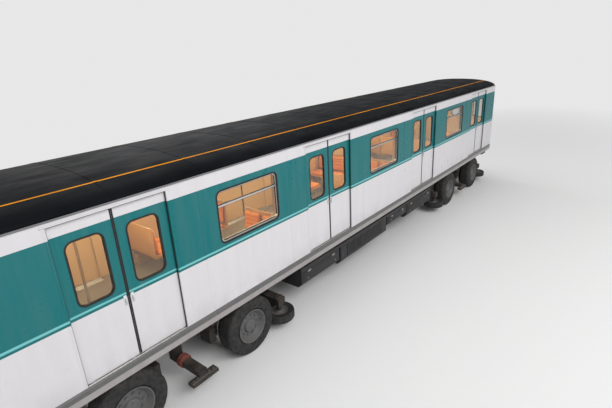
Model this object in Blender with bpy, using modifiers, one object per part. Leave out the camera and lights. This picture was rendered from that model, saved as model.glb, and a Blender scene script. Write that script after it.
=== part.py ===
"""An intermediate car of a rubber-tyred metro train, in metres, with +Z up.

X runs along the car, Y runs across it, and the origin is on the rolling surface under the car's middle.
The car is the same at both ends and on both sides, so its pieces are laid out by mirrored loops.
"""

import math

import bmesh
import bpy
from mathutils import Matrix, Vector

# Driving dimensions of the body shell
body_length = 14.6
body_width = 2.4
body_edge_height = 1.0
floor_height = 1.17
cornice_height = 0.05
roof_rise = 0.23
side_thickness = 0.11
end_thickness = 0.06
roof_thickness = 0.05
roof_roundness = 2.2
gutter_projection = 0.012
gutter_height = 0.02
edge_softening = 0.012
lamp_rail_offset = 0.57
lamp_rail_width = 0.16
lamp_rail_drop = 0.035

# Clearances shared by the whole car
seat_gap = 0.0003
running_clearance = 0.007
cutter_overrun = 0.02
joint_overlap = 0.01
weld_step = 0.006

# Window band, and the rails along the side
window_sill_height = 2.06
window_head_height = 2.8
window_corner_radius = 0.09
hopper_bar_drop = 0.215
hopper_bar_width = 0.022
hopper_bar_thickness = 0.036
hopper_bar_setback = 0.014
bay_window_width = 1.16
rub_rail_bottom_height = 1.085
sill_moulding_height = 2.0
sill_moulding_width = 0.03
rail_projection = 0.012
rail_end_inset = 0.008

# Sliding doors, which run into pockets between the outer and inner skins
door_opening_width = 1.3
door_head_rise = 0.22
end_bay_length = 0.85
doors_per_side = 4
door_travel = 0.57
door_pocket_overlap = 0.02
door_stop_clearance = 0.01
door_track_depth = 0.014
outer_skin_thickness = 0.03
inner_skin_thickness = 0.035
leaf_thickness = 0.03
leaf_window_width = 0.4
leaf_shoe_length = 0.05
leaf_shoe_inset = 0.06

# End wall with its door
end_door_width = 0.62
end_door_thickness = 0.036
end_door_swing = math.radians(90)
end_door_window_width = 0.34
end_window_width = 0.42
end_window_offset = 0.76
end_pivot_radius = 0.011
end_step_length = 0.08
end_step_thickness = 0.04

# Underframe
underframe_depth = 0.12
solebar_offset = 0.42
solebar_width = 0.12
cross_bearer_length = 0.1
cross_bearer_count = 3
cross_bearer_span = 5.4
headstock_length = 0.34
headstock_depth = 0.14
bolster_length = 0.6
bolster_width = 1.5
bolster_depth = 0.14

# Air tanks hung under the middle of the car, between the solebars
tank_radius = 0.15
tank_length = 1.24
tank_spacing = 2.7
tank_clearance = 0.07
tank_dome_length = 0.06
tank_hanger_spacing = 0.7
tank_hanger_length = 0.05
tank_hanger_depth = 0.05
tank_saddle_width = 0.16

# Coupler with its bracket
coupler_reach = 0.3
coupler_height = 0.65
coupler_pin_radius = 0.03
coupler_pin_setback = 0.24
coupler_eye_radius = 0.075
coupler_eye_thickness = 0.09
coupler_bar_width = 0.08
coupler_head_length = 0.14
coupler_head_width = 0.26
coupler_head_height = 0.2
coupler_head_softening = 0.02
bracket_plate_thickness = 0.03
bracket_plate_gap = 0.012
bracket_width = 0.2
bracket_back_length = 0.04

# Bogie
bogie_centre_distance = 10.0
wheelbase = 2.0
axle_radius = 0.075
pin_clearance = 0.0003
frame_offset = 0.5
frame_width = 0.14
frame_rise = 0.227
frame_beam_depth = 0.17
axle_box_length = 0.3
axle_box_drop = 0.12
arm_drop = 0.14
arm_depth = 0.14
transom_length = 0.5
transom_depth = 0.2
pivot_radius = 0.15
spring_radius = 0.13
motor_radius = 0.19
gear_case_radius = 0.24
gear_case_width = 0.36
brake_block_length = 0.1
brake_block_clearance = 0.012
brake_block_inset = 0.015
brake_block_angle = 14
frame_softening = 0.015

# Wheels: the pneumatic tyre carries the car and the steel wheel runs clear above the rail
tyre_radius = 0.48
tyre_width = 0.29
tyre_wheel_gap = 0.0295
tyre_shoulder_radius = 0.05
rim_radius = 0.27
rim_dish_depth = 0.09
rim_dish_radius = 0.2
hub_radius = 0.1
hub_cap_length = 0.05
rail_gauge = 1.435
steel_wheel_width = 0.135
steel_tread_radius = 0.435
steel_flange_radius = 0.465
steel_flange_width = 0.032
steel_flange_setback = 0.037
steel_web_depth = 0.06
steel_rim_depth = 0.05

# Guide wheels, which lie flat and run against a bar on each side of the track
guide_tyre_gap = 0.01
guide_radius = 0.27
guide_height = 0.24
guide_width = 0.15
guide_overhang = 0.11
guide_rim_radius = 0.15
guide_shoulder = 0.03
guide_pin_radius = 0.04
guide_beam_length = 0.16
guide_beam_depth = 0.13
guide_cap_radius = 0.09
guide_cap_thickness = 0.025

# Collector shoe between the axles
shoe_length = 0.44
shoe_width = 0.12
shoe_thickness = 0.05
shoe_height = 0.24
shoe_inset = 0.045
shoe_arm_length = 0.14
shoe_arm_depth = 0.08

# Equipment cases hung between the bogies
equipment_inner_offset = 0.3
equipment_side_inset = 0.1
equipment_end_offset = 2.75
equipment_bottom_height = 0.42
equipment_chamfer = 0.09
case_gap = 0.05
case_rail_depth = 0.05
case_softening = 0.012
case_rib_count = 6
case_rib_length = 0.03
case_rib_projection = 0.012
case_lid_margin = 0.05
case_lid_projection = 0.008

# Benches, which face each other at every bay window, and the poles
bench_height = 0.42
bench_depth = 0.45
bench_width = 0.84
bench_spacing = 1.5
cushion_thickness = 0.09
back_height = 0.84
back_thickness = 0.07
back_rake = 0.06
bench_leg_width = 0.06
bench_leg_depth = 0.3
duct_height = 0.2
duct_width = 0.13
pole_radius = 0.018
pole_rail_drop = 0.12
pole_rail_end_inset = 0.9
ceiling_bracket_radius = 0.03

# Smoothness of the round pieces, as counts of flats
wheel_segments = 18
guide_segments = 14
pin_segments = 10
drum_segments = 12
pole_segments = 8
corner_steps = 2
roof_steps = 8
tyre_shoulder_steps = 2

half_length = body_length / 2
half_width = body_width / 2
bay_length = (body_length - 2 * end_bay_length - doors_per_side * door_opening_width) / (doors_per_side - 1)
door_spacing = bay_length + door_opening_width
door_centres = [(number - (doors_per_side - 1) / 2) * door_spacing for number in range(doors_per_side)]
bay_centres = [(number - (doors_per_side - 2) / 2) * door_spacing for number in range(doors_per_side - 1)]
door_head_height = window_head_height + door_head_rise
roof_edge_height = door_head_height + cornice_height
roof_crown_height = roof_edge_height + roof_rise
door_track_bottom_height = floor_height - door_track_depth
door_track_top_height = door_head_height + door_track_depth
leaf_plane = half_width - (side_thickness + outer_skin_thickness - inner_skin_thickness) / 2
underframe_top_height = body_edge_height - seat_gap
bearer_half_width = half_width - side_thickness
underframe_bottom_height = underframe_top_height - underframe_depth
bolster_bottom_height = underframe_top_height - bolster_depth
coupler_pin_position = half_length - coupler_pin_setback
rub_rail_top_height = floor_height - weld_step
steel_wheel_back = rail_gauge / 2 - steel_flange_setback
steel_wheel_front = steel_wheel_back + steel_wheel_width
tyre_offset = steel_wheel_front + tyre_wheel_gap + tyre_width / 2
guide_face_offset = tyre_offset + tyre_width / 2 + guide_overhang
guide_offset = guide_face_offset - guide_radius
guide_reach = wheelbase / 2 + tyre_radius + guide_radius + guide_tyre_gap
shoe_face_offset = guide_face_offset - shoe_inset
equipment_outer_offset = half_width - equipment_side_inset
axle_height = tyre_radius * math.cos(math.pi / wheel_segments)
frame_top_height = axle_height + frame_rise
arm_top_height = frame_top_height - arm_drop
guide_beam_top_height = arm_top_height - joint_overlap
frame_bore_radius = (axle_radius + pin_clearance) / math.cos(math.pi / wheel_segments)
guide_bore_radius = (guide_pin_radius + pin_clearance) / math.cos(math.pi / guide_segments)
coupler_bore_radius = (coupler_pin_radius + pin_clearance) / math.cos(math.pi / pin_segments)

ends = (("front", 1), ("rear", -1))
sides = (("left", 1), ("right", -1))

white_paint = ("white_paint", (0.80, 0.79, 0.77), 0.28, 0.0)
black_paint = ("black_paint", (0.012, 0.014, 0.018), 0.45, 0.0)
frame_paint = ("frame_paint", (0.02, 0.021, 0.023), 0.6, 0.2)
grey_floor = ("grey_floor", (0.16, 0.15, 0.14), 0.7, 0.0)
tyre_rubber = ("tyre_rubber", (0.018, 0.018, 0.019), 0.85, 0.0)
wheel_steel = ("wheel_steel", (0.24, 0.23, 0.22), 0.4, 0.9)
seat_cloth = ("seat_cloth", (0.85, 0.33, 0.05), 0.7, 0.0)
pole_steel = ("pole_steel", (0.62, 0.62, 0.60), 0.22, 1.0)


def clear_scene():
    for old in list(bpy.data.objects):
        bpy.data.objects.remove(old, do_unlink=True)


def make_collection(name):
    collection = bpy.data.collections.new(name)
    bpy.context.scene.collection.children.link(collection)
    return collection


def paint(item, finish):
    name, colour, roughness, metallic = finish
    coat = bpy.data.materials.new(name + "_" + item.name)
    coat.use_nodes = True
    shader = coat.node_tree.nodes["Principled BSDF"]
    shader.inputs["Base Color"].default_value = (*colour, 1)
    shader.inputs["Roughness"].default_value = roughness
    shader.inputs["Metallic"].default_value = metallic
    coat.diffuse_color = (*colour, 1)
    item.data.materials.clear()
    item.data.materials.append(coat)


def new_item(name, mesh, collection):
    item = bpy.data.objects.new(name, mesh)
    collection.objects.link(item)
    return item


def shade_round(mesh):
    mesh.shade_smooth()
    mesh.set_sharp_from_angle(angle=math.radians(35))


def arc(centre, radius, start, end, steps):
    """Points on an arc, with both of its ends; the angles are in degrees."""
    points = []
    for step in range(steps + 1):
        angle = math.radians(start + (end - start) * step / steps)
        points.append((centre[0] + radius * math.cos(angle), centre[1] + radius * math.sin(angle)))
    return points


def rectangle(left, right, bottom, top):
    return [(left, bottom), (right, bottom), (right, top), (left, top)]


def rounded_rectangle(left, right, bottom, top, radius):
    corners = ((right, bottom, -90, -1, 1), (right, top, 0, -1, -1), (left, top, 90, 1, -1), (left, bottom, 180, 1, 1))
    points = []
    for across, up, start, inward, upward in corners:
        centre = (across + inward * radius, up + upward * radius)
        points += arc(centre, radius, start, start + 90, corner_steps)
    return points


def box(name, low, high, collection):
    """A box from its lowest corner to its highest corner."""
    shape = bmesh.new()
    size = Vector(high) - Vector(low)
    middle = (Vector(high) + Vector(low)) / 2
    bmesh.ops.create_cube(shape, size=1, matrix=Matrix.Translation(middle) @ Matrix.Diagonal((*size, 1)))
    mesh = bpy.data.meshes.new(name)
    shape.to_mesh(mesh)
    shape.free()
    return new_item(name, mesh, collection)


def cylinder(name, radius, start, end, axis, segments, collection):
    """A round bar along one axis, centred on start and end, which are world points on that axis."""
    shape = bmesh.new()
    length = (Vector(end) - Vector(start)).length
    turn = Vector((0, 0, 1)).rotation_difference(axis).to_matrix().to_4x4()
    place = Matrix.Translation((Vector(start) + Vector(end)) / 2) @ turn
    bmesh.ops.create_cone(shape, cap_ends=True, segments=segments, radius1=radius, radius2=radius, depth=length,
                          matrix=place)
    mesh = bpy.data.meshes.new(name)
    shape.to_mesh(mesh)
    shape.free()
    shade_round(mesh)
    return new_item(name, mesh, collection)


along = Vector((1, 0, 0))
across = Vector((0, 1, 0))
upward = Vector((0, 0, 1))

# Frames for flat outlines: an outline's own x, its own y, and the way that it is thickened
side_view = Matrix(((1, 0, 0, 0), (0, 0, -1, 0), (0, 1, 0, 0), (0, 0, 0, 1)))
end_view = Matrix(((0, 0, 1, 0), (1, 0, 0, 0), (0, 1, 0, 0), (0, 0, 0, 1)))
plan_view = Matrix.Identity(4)


def extruded(name, outlines, thickness, view, middle, collection):
    """A flat outline with its holes, thickened evenly about the point middle."""
    curve = bpy.data.curves.new(name, "CURVE")
    curve.dimensions = "2D"
    curve.fill_mode = "BOTH"
    curve.extrude = thickness / 2
    for outline in outlines:
        spline = curve.splines.new("POLY")
        spline.points.add(len(outline) - 1)
        for point, (x, y) in zip(spline.points, outline):
            point.co = (x, y, 0, 1)
        spline.use_cyclic_u = True
    sketch = new_item(name + "_outline", curve, collection)
    bpy.context.view_layer.update()
    mesh = bpy.data.meshes.new_from_object(sketch.evaluated_get(bpy.context.evaluated_depsgraph_get()))
    bpy.data.objects.remove(sketch, do_unlink=True)
    shape = bmesh.new()
    shape.from_mesh(mesh)
    bmesh.ops.remove_doubles(shape, verts=shape.verts, dist=seat_gap / 10)
    bmesh.ops.transform(shape, matrix=Matrix.Translation(middle) @ view, verts=shape.verts)
    bmesh.ops.recalc_face_normals(shape, faces=shape.faces)
    shape.to_mesh(mesh)
    shape.free()
    mesh.name = name
    return new_item(name, mesh, collection)


def turned(name, profile, segments, closed, collection):
    """A profile of (radius, height) points turned about its own Z axis."""
    mesh = bpy.data.meshes.new(name)
    points = [(radius, 0, height) for radius, height in profile]
    edges = [(number, number + 1) for number in range(len(points) - 1)]
    if closed:
        edges.append((len(points) - 1, 0))
    mesh.from_pydata(points, edges, [])
    item = new_item(name, mesh, collection)
    screw = item.modifiers.new("turn", "SCREW")
    screw.steps = segments
    screw.render_steps = segments
    screw.use_merge_vertices = True
    screw.merge_threshold = seat_gap / 10
    screw.use_smooth_shade = False
    return item


def combine(item, tool, operation):
    """Joins a hidden tool to an item, or cuts it out."""
    tool.hide_render = True
    tool.display_type = "WIRE"
    change = item.modifiers.new(operation.lower(), "BOOLEAN")
    change.operation = operation
    change.solver = "EXACT"
    change.object = tool


def soften(item, width):
    """Rounds the sharp edges of a finished shape a little."""
    bevel = item.modifiers.new("soft_edges", "BEVEL")
    bevel.width = width
    bevel.segments = 1
    bevel.limit_method = "ANGLE"
    bevel.angle_limit = math.radians(60)
    bevel.use_clamp_overlap = True


def roof_arch(half_span, rise):
    """The roof's section from the right edge over the crown to the left edge, a flattened half oval."""
    points = []
    for step in range(2 * roof_steps + 1):
        angle = math.pi * step / (2 * roof_steps)
        power = 2 / roof_roundness
        y = half_span * math.copysign(abs(math.cos(angle)) ** power, math.cos(angle))
        points.append((y, roof_edge_height + rise * math.sin(angle) ** power))
    return points


def ceiling_height(y):
    """The height of the roof's inner face over a point y from the middle, on its flat facets."""
    arch = roof_arch(half_width - roof_thickness, roof_rise - roof_thickness)
    for (right, right_height), (left, left_height) in zip(arch, arch[1:]):
        if left <= y <= right:
            return left_height + (right_height - left_height) * (y - left) / (right - left) + seat_gap
    return roof_edge_height + seat_gap


def lamp_rail_arch():
    """The roof's inner section from right to left, with a lamp rail standing down from each haunch."""
    near = lamp_rail_offset - lamp_rail_width / 2
    far = lamp_rail_offset + lamp_rail_width / 2
    low = ceiling_height(lamp_rail_offset) - lamp_rail_drop
    right_rail = [(far, ceiling_height(far) - seat_gap), (far, low), (near, low),
                  (near, ceiling_height(near) - seat_gap)]
    left_rail = [(-y, z) for y, z in reversed(right_rail)]
    arch = roof_arch(half_width - roof_thickness, roof_rise - roof_thickness)
    right_haunch = [point for point in arch if point[0] > far]
    crown = [point for point in arch if abs(point[0]) < near]
    left_haunch = [point for point in arch if point[0] < -far]
    return right_haunch + right_rail + crown + left_rail + left_haunch


def make_roof(parts):
    """The roof is one arched shell with a drip gutter along each edge and two lamp rails under it."""
    outer = roof_arch(half_width, roof_rise)
    inner = lamp_rail_arch()
    lift = seat_gap
    gutter = [(half_width, roof_edge_height), (half_width + gutter_projection, roof_edge_height),
              (half_width + gutter_projection, roof_edge_height + gutter_height),
              (half_width - gutter_projection, roof_edge_height + gutter_height + gutter_projection)]
    far_gutter = [(-y, z) for y, z in reversed(gutter)]
    loop = gutter + outer[1:-1] + far_gutter + list(reversed(inner))
    outline = [(y, z + lift) for y, z in loop]
    length = body_length - 2 * (end_thickness + seat_gap)
    roof = extruded("roof", [outline], length, end_view, (0, 0, 0), parts)
    shade_round(roof.data)
    paint(roof, black_paint)


def cut_bay_window(wall, name, way, centre, tools):
    """A bay window is cut through the side, with a bar across it under the hopper."""
    half = bay_window_width / 2
    hole = rounded_rectangle(centre - half, centre + half, window_sill_height, window_head_height,
                             window_corner_radius)
    window = extruded("bay_window_" + name, [hole], side_thickness + 2 * cutter_overrun, side_view,
                      (0, way * (half_width - side_thickness / 2), 0), tools)
    combine(wall, window, "DIFFERENCE")
    front = half_width - hopper_bar_setback
    span = sorted((way * (front - hopper_bar_thickness), way * front))
    middle = window_head_height - hopper_bar_drop
    bar = box("hopper_bar_" + name, (centre - half - joint_overlap, span[0], middle - hopper_bar_width / 2),
              (centre + half + joint_overlap, span[1], middle + hopper_bar_width / 2), tools)
    combine(wall, bar, "UNION")


def make_side(side, way, parts, tools):
    """A side has door openings down to the floor, bay windows, and door pockets between its two skins."""
    length = body_length - 2 * (end_thickness + seat_gap)
    skin = sorted((way * half_width, way * (half_width - side_thickness)))
    slot = sorted((way * (half_width - outer_skin_thickness),
                   way * (half_width - side_thickness + inner_skin_thickness)))
    wall = box("side_" + side, (-length / 2, skin[0], body_edge_height), (length / 2, skin[1], roof_edge_height),
               parts)
    pocket_depth = door_travel + door_pocket_overlap + door_stop_clearance
    for number, centre in enumerate(door_centres):
        half = door_opening_width / 2
        doorway = box("doorway_%s_%d" % (side, number + 1), (centre - half, skin[0] - cutter_overrun, floor_height),
                      (centre + half, skin[1] + cutter_overrun, door_head_height), tools)
        combine(wall, doorway, "DIFFERENCE")
        reach = half + pocket_depth
        pocket = box("pocket_%s_%d" % (side, number + 1), (centre - reach, slot[0], door_track_bottom_height),
                     (centre + reach, slot[1], door_track_top_height), tools)
        combine(wall, pocket, "DIFFERENCE")
    for number, centre in enumerate(bay_centres):
        cut_bay_window(wall, "%s_%d" % (side, number + 1), way, centre, tools)
    rails =[("rub", rub_rail_bottom_height, rub_rail_top_height, rail_end_inset - length / 2,
              length / 2 - rail_end_inset)]
    for number, centre in enumerate([-door_centres[-1] - door_spacing] + door_centres):
        start = max(centre + door_opening_width / 2, -length / 2) + rail_end_inset
        end = min(centre + door_spacing - door_opening_width / 2, length / 2) - rail_end_inset
        rails.append(("sill_%d" % number, sill_moulding_height - sill_moulding_width / 2,
                      sill_moulding_height + sill_moulding_width / 2, start, end))
    for name, bottom, top, start, end in rails:
        face = way * half_width
        nose = way * (half_width + rail_projection)
        root = way * (half_width - joint_overlap)
        chamfer = rail_projection
        section = [(root, bottom), (face, bottom), (nose, bottom + chamfer), (nose, top - chamfer), (face, top),
                   (root, top)]
        rail = extruded("rail_%s_%s" % (name, side), [section], end - start, end_view, ((start + end) / 2, 0, 0),
                        tools)
        combine(wall, rail, "UNION")
    paint(wall, white_paint)


def make_leaves(side, way, parts):
    """Each doorway has two leaves, which hang in the pockets' plane and slide apart."""
    leaf_width = door_opening_width / 2 + door_pocket_overlap - seat_gap
    bottom = floor_height + running_clearance
    top = door_track_top_height - running_clearance
    shoe_bottom = door_track_bottom_height + seat_gap
    for number, centre in enumerate(door_centres):
        for half, turn in (("a", -1), ("b", 1)):
            name = "door_leaf_%s_%d%s" % (side, number + 1, half)
            inner = turn * seat_gap
            outer = turn * (seat_gap + leaf_width)
            left, right = sorted((inner, outer))
            window_middle = turn * door_opening_width / 4
            shoes = []
            for shoe_left in (left + leaf_shoe_inset, right - leaf_shoe_inset - leaf_shoe_length):
                shoes += [(shoe_left, bottom), (shoe_left, shoe_bottom), (shoe_left + leaf_shoe_length, shoe_bottom),
                          (shoe_left + leaf_shoe_length, bottom)]
            outline = [(left, bottom)] + shoes + [(right, bottom), (right, top), (left, top)]
            window = rounded_rectangle(window_middle - leaf_window_width / 2, window_middle + leaf_window_width / 2,
                                       window_sill_height, window_head_height, window_corner_radius)
            leaf = extruded(name, [outline, window], leaf_thickness, side_view, (0, 0, 0), parts)
            leaf.location = (centre, way * leaf_plane, 0)
            paint(leaf, white_paint)


def make_end(end, way, parts, tools):
    """An end wall closes the whole section and has a doorway, with a footplate, between two windows."""
    outline = [(-half_width, body_edge_height), (half_width, body_edge_height)] + roof_arch(half_width, roof_rise)
    middle_plane = (way * (half_length - end_thickness / 2), 0, 0)
    wall = extruded("end_wall_" + end, [outline], end_thickness, end_view, middle_plane, parts)
    soften(wall, edge_softening)
    holes = [("door", rectangle(-end_door_width / 2, end_door_width / 2, floor_height, door_head_height))]
    for side, hand in sides:
        middle = hand * end_window_offset
        holes.append((side, rounded_rectangle(middle - end_window_width / 2, middle + end_window_width / 2,
                                              window_sill_height, window_head_height, window_corner_radius)))
    for name, hole in holes:
        cutter = extruded("end_%s_hole_%s" % (end, name), [hole], end_thickness + 2 * cutter_overrun, end_view,
                          middle_plane, tools)
        combine(wall, cutter, "DIFFERENCE")
    reach = sorted((way * (half_length - joint_overlap), way * (half_length + end_step_length)))
    step_top = floor_height - joint_overlap
    step = box("end_step_" + end, (reach[0], -end_door_width / 2, step_top - end_step_thickness),
               (reach[1], end_door_width / 2, step_top), tools)
    combine(wall, step, "UNION")
    paint(wall, white_paint)


def make_end_door(end, way, parts, tools):
    """The end door turns inwards on a pivot at its round edge, which stands on the doorway's sill."""
    hinge = -way * (end_door_width / 2 - running_clearance - end_door_thickness / 2)
    bottom = floor_height + running_clearance
    top = door_head_height - running_clearance
    radius = end_door_thickness / 2
    free_edge = end_door_width - 2 * running_clearance - radius
    slab_outline = [(0, radius)] + arc((0, 0), radius, 90, 270, 2 * corner_steps)[1:] + \
        [(free_edge, -radius), (free_edge, radius)]
    slab = extruded("end_door_" + end, [slab_outline], top - bottom, plan_view, (0, 0, (top + bottom) / 2), parts)
    slab.location = (way * (half_length - end_thickness / 2), hinge, 0)
    slab.rotation_euler = (0, 0, way * math.radians(90))
    middle = (end_door_width / 2) - running_clearance - radius
    hole = extruded("end_door_window_" + end,
                    [rounded_rectangle(middle - end_door_window_width / 2, middle + end_door_window_width / 2,
                                       window_sill_height, window_head_height, window_corner_radius)],
                    end_door_thickness + 2 * cutter_overrun, side_view, (0, 0, 0), tools)
    hole.parent = slab
    combine(slab, hole, "DIFFERENCE")
    pivot = cylinder("end_door_pivot_" + end, end_pivot_radius, (0, 0, floor_height + seat_gap),
                     (0, 0, bottom + joint_overlap), upward, pin_segments, tools)
    pivot.parent = slab
    combine(slab, pivot, "UNION")
    paint(slab, white_paint)


def make_floor(parts):
    width = body_width - 2 * (side_thickness + seat_gap)
    length = body_length - 2 * (end_thickness + seat_gap)
    floor = box("floor", (-length / 2, -width / 2, body_edge_height), (length / 2, width / 2, floor_height), parts)
    paint(floor, grey_floor)


# A tank's domed end from its tip: share of the tank's radius, share of the dome's length
dome_shares = ((0.0, 1.0), (0.72, 0.8), (1.0, 0.0))


def make_air_tank(name, middle, tools):
    """A tank with domed ends, turned about its own Z axis and laid along the car, with its hangers."""
    barrel = tank_length / 2 - tank_dome_length
    end = [(tank_radius * out_share, barrel + tank_dome_length * up_share) for out_share, up_share in dome_shares]
    profile = end + [(radius, -height) for radius, height in reversed(end)]
    tank = turned("air_tank_" + name, profile, drum_segments, False, tools)
    height = underframe_bottom_height - tank_clearance - tank_radius
    tank.location = (middle, 0, height)
    tank.rotation_euler = (0, math.pi / 2, 0)
    pieces = [tank]
    base = underframe_bottom_height + weld_step * 2
    for number in (-1, 1):
        place = middle + number * tank_hanger_spacing / 2
        half = tank_hanger_length / 2
        pieces.append(box("tank_bar_%s_%d" % (name, number), (place - half, -solebar_offset, base),
                          (place + half, solebar_offset, base + tank_hanger_depth), tools))
        half = (tank_hanger_length - weld_step) / 2
        pieces.append(box("tank_saddle_%s_%d" % (name, number), (place - half, -tank_saddle_width / 2, height),
                          (place + half, tank_saddle_width / 2, base + tank_hanger_depth / 2), tools))
    return pieces


def make_underframe(parts, tools):
    """Two solebars with cross bearers, bolsters over the bogies, and two air tanks between the solebars."""
    top = underframe_top_height
    bottom = underframe_bottom_height
    outer = solebar_offset + solebar_width / 2
    inner = solebar_offset - solebar_width / 2
    reach = half_length - end_thickness - headstock_length - seat_gap
    frame = box("underframe", (-reach, inner, bottom + weld_step), (reach, outer, top), parts)
    bars = [("solebar", (-reach, -outer, bottom + weld_step), (reach, -inner, top))]
    for number in range(cross_bearer_count):
        middle = (number / (cross_bearer_count - 1) - 1 / 2) * cross_bearer_span
        bars.append(("bearer_%d" % number, (middle - cross_bearer_length / 2, -bearer_half_width, bottom),
                     (middle + cross_bearer_length / 2, bearer_half_width, top - weld_step)))
    for end, way in ends:
        bolster = way * bogie_centre_distance / 2
        bars.append(("bolster_" + end, (bolster - bolster_length / 2, -bolster_width / 2, bolster_bottom_height),
                     (bolster + bolster_length / 2, bolster_width / 2, top - weld_step)))
    for name, low_corner, high_corner in bars:
        combine(frame, box("underframe_" + name, low_corner, high_corner, tools), "UNION")
    for end, way in ends:
        for piece in make_air_tank(end, way * tank_spacing / 2, tools):
            combine(frame, piece, "UNION")
    paint(frame, frame_paint)


def make_headstock(end, way, parts, tools):
    """The headstock closes the underframe's end and carries the bracket with the coupler's pin."""
    top = underframe_top_height
    half = half_length - end_thickness
    span = sorted((way * (half - headstock_length), way * half))
    beam = box("headstock_" + end, (span[0], -bearer_half_width, top - headstock_depth),
               (span[1], bearer_half_width, top), parts)
    pin_height = coupler_eye_thickness / 2 + bracket_plate_gap
    back_outer = coupler_pin_position - coupler_eye_radius - bracket_plate_gap
    back = sorted((way * (back_outer - bracket_back_length), way * back_outer))
    plate = sorted((way * (back_outer - bracket_back_length / 2),
                    way * (coupler_pin_position + coupler_pin_radius * 2)))
    low = coupler_height - pin_height - bracket_plate_thickness
    bars = [("back", (back[0], -bracket_width / 2 - weld_step, low - weld_step),
             (back[1], bracket_width / 2 + weld_step, top - headstock_depth + joint_overlap))]
    for level, height in (("upper", coupler_height + pin_height), ("lower", low)):
        bars.append((level, (plate[0], -bracket_width / 2, height),
                     (plate[1], bracket_width / 2, height + bracket_plate_thickness)))
    for name, low_corner, high_corner in bars:
        combine(beam, box("bracket_%s_%s" % (name, end), low_corner, high_corner, tools), "UNION")
    spot = (way * coupler_pin_position, 0)
    pin = cylinder("coupler_pin_" + end, coupler_pin_radius, (*spot, coupler_height - pin_height - joint_overlap),
                   (*spot, coupler_height + pin_height + joint_overlap), upward, pin_segments, tools)
    combine(beam, pin, "UNION")
    paint(beam, frame_paint)


def make_coupler(end, way, parts, tools):
    """A drawbar with a head, which swings on the bracket's pin."""
    reach = coupler_pin_setback + coupler_reach
    half_bar = coupler_bar_width / 2
    start = math.degrees(math.asin(half_bar / coupler_eye_radius))
    eye = arc((0, 0), coupler_eye_radius, start, 360 - start, 6 * corner_steps)
    neck = reach - coupler_head_length
    half_head = coupler_head_width / 2
    outline = eye + [(neck + joint_overlap, -half_bar), (neck + joint_overlap, half_bar)]
    hole = arc((0, 0), coupler_bore_radius, 0, 360, pin_segments)[:-1]
    bar = extruded("coupler_" + end, [outline, hole], coupler_eye_thickness, plan_view, (0, 0, 0), parts)
    bar.location = (way * coupler_pin_position, 0, coupler_height)
    bar.rotation_euler = (0, 0, 0 if way > 0 else math.pi)
    head = box("coupler_head_" + end, (neck, -half_head, -coupler_head_height / 2),
               (reach, half_head, coupler_head_height / 2), tools)
    soften(head, coupler_head_softening)
    head.parent = bar
    combine(bar, head, "UNION")
    paint(bar, frame_paint)


def frame_beam_outline():
    """One side of the bogie frame seen from the side: a beam with an axle box hung at each end."""
    axle = wheelbase / 2
    half_box = axle_box_length / 2
    top = frame_top_height
    under = top - frame_beam_depth
    low = axle_height - axle_box_drop
    tip = guide_reach
    arm_under = arm_top_height - arm_depth
    right = [(axle - half_box - frame_beam_depth / 2, under), (axle - half_box, low), (axle + half_box, low),
             (axle + half_box, arm_under), (tip, arm_under), (tip, arm_top_height),
             (axle + half_box + frame_beam_depth / 2, arm_top_height), (axle + half_box, top)]
    left = [(-x, z) for x, z in reversed(right)]
    return right + left


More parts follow.
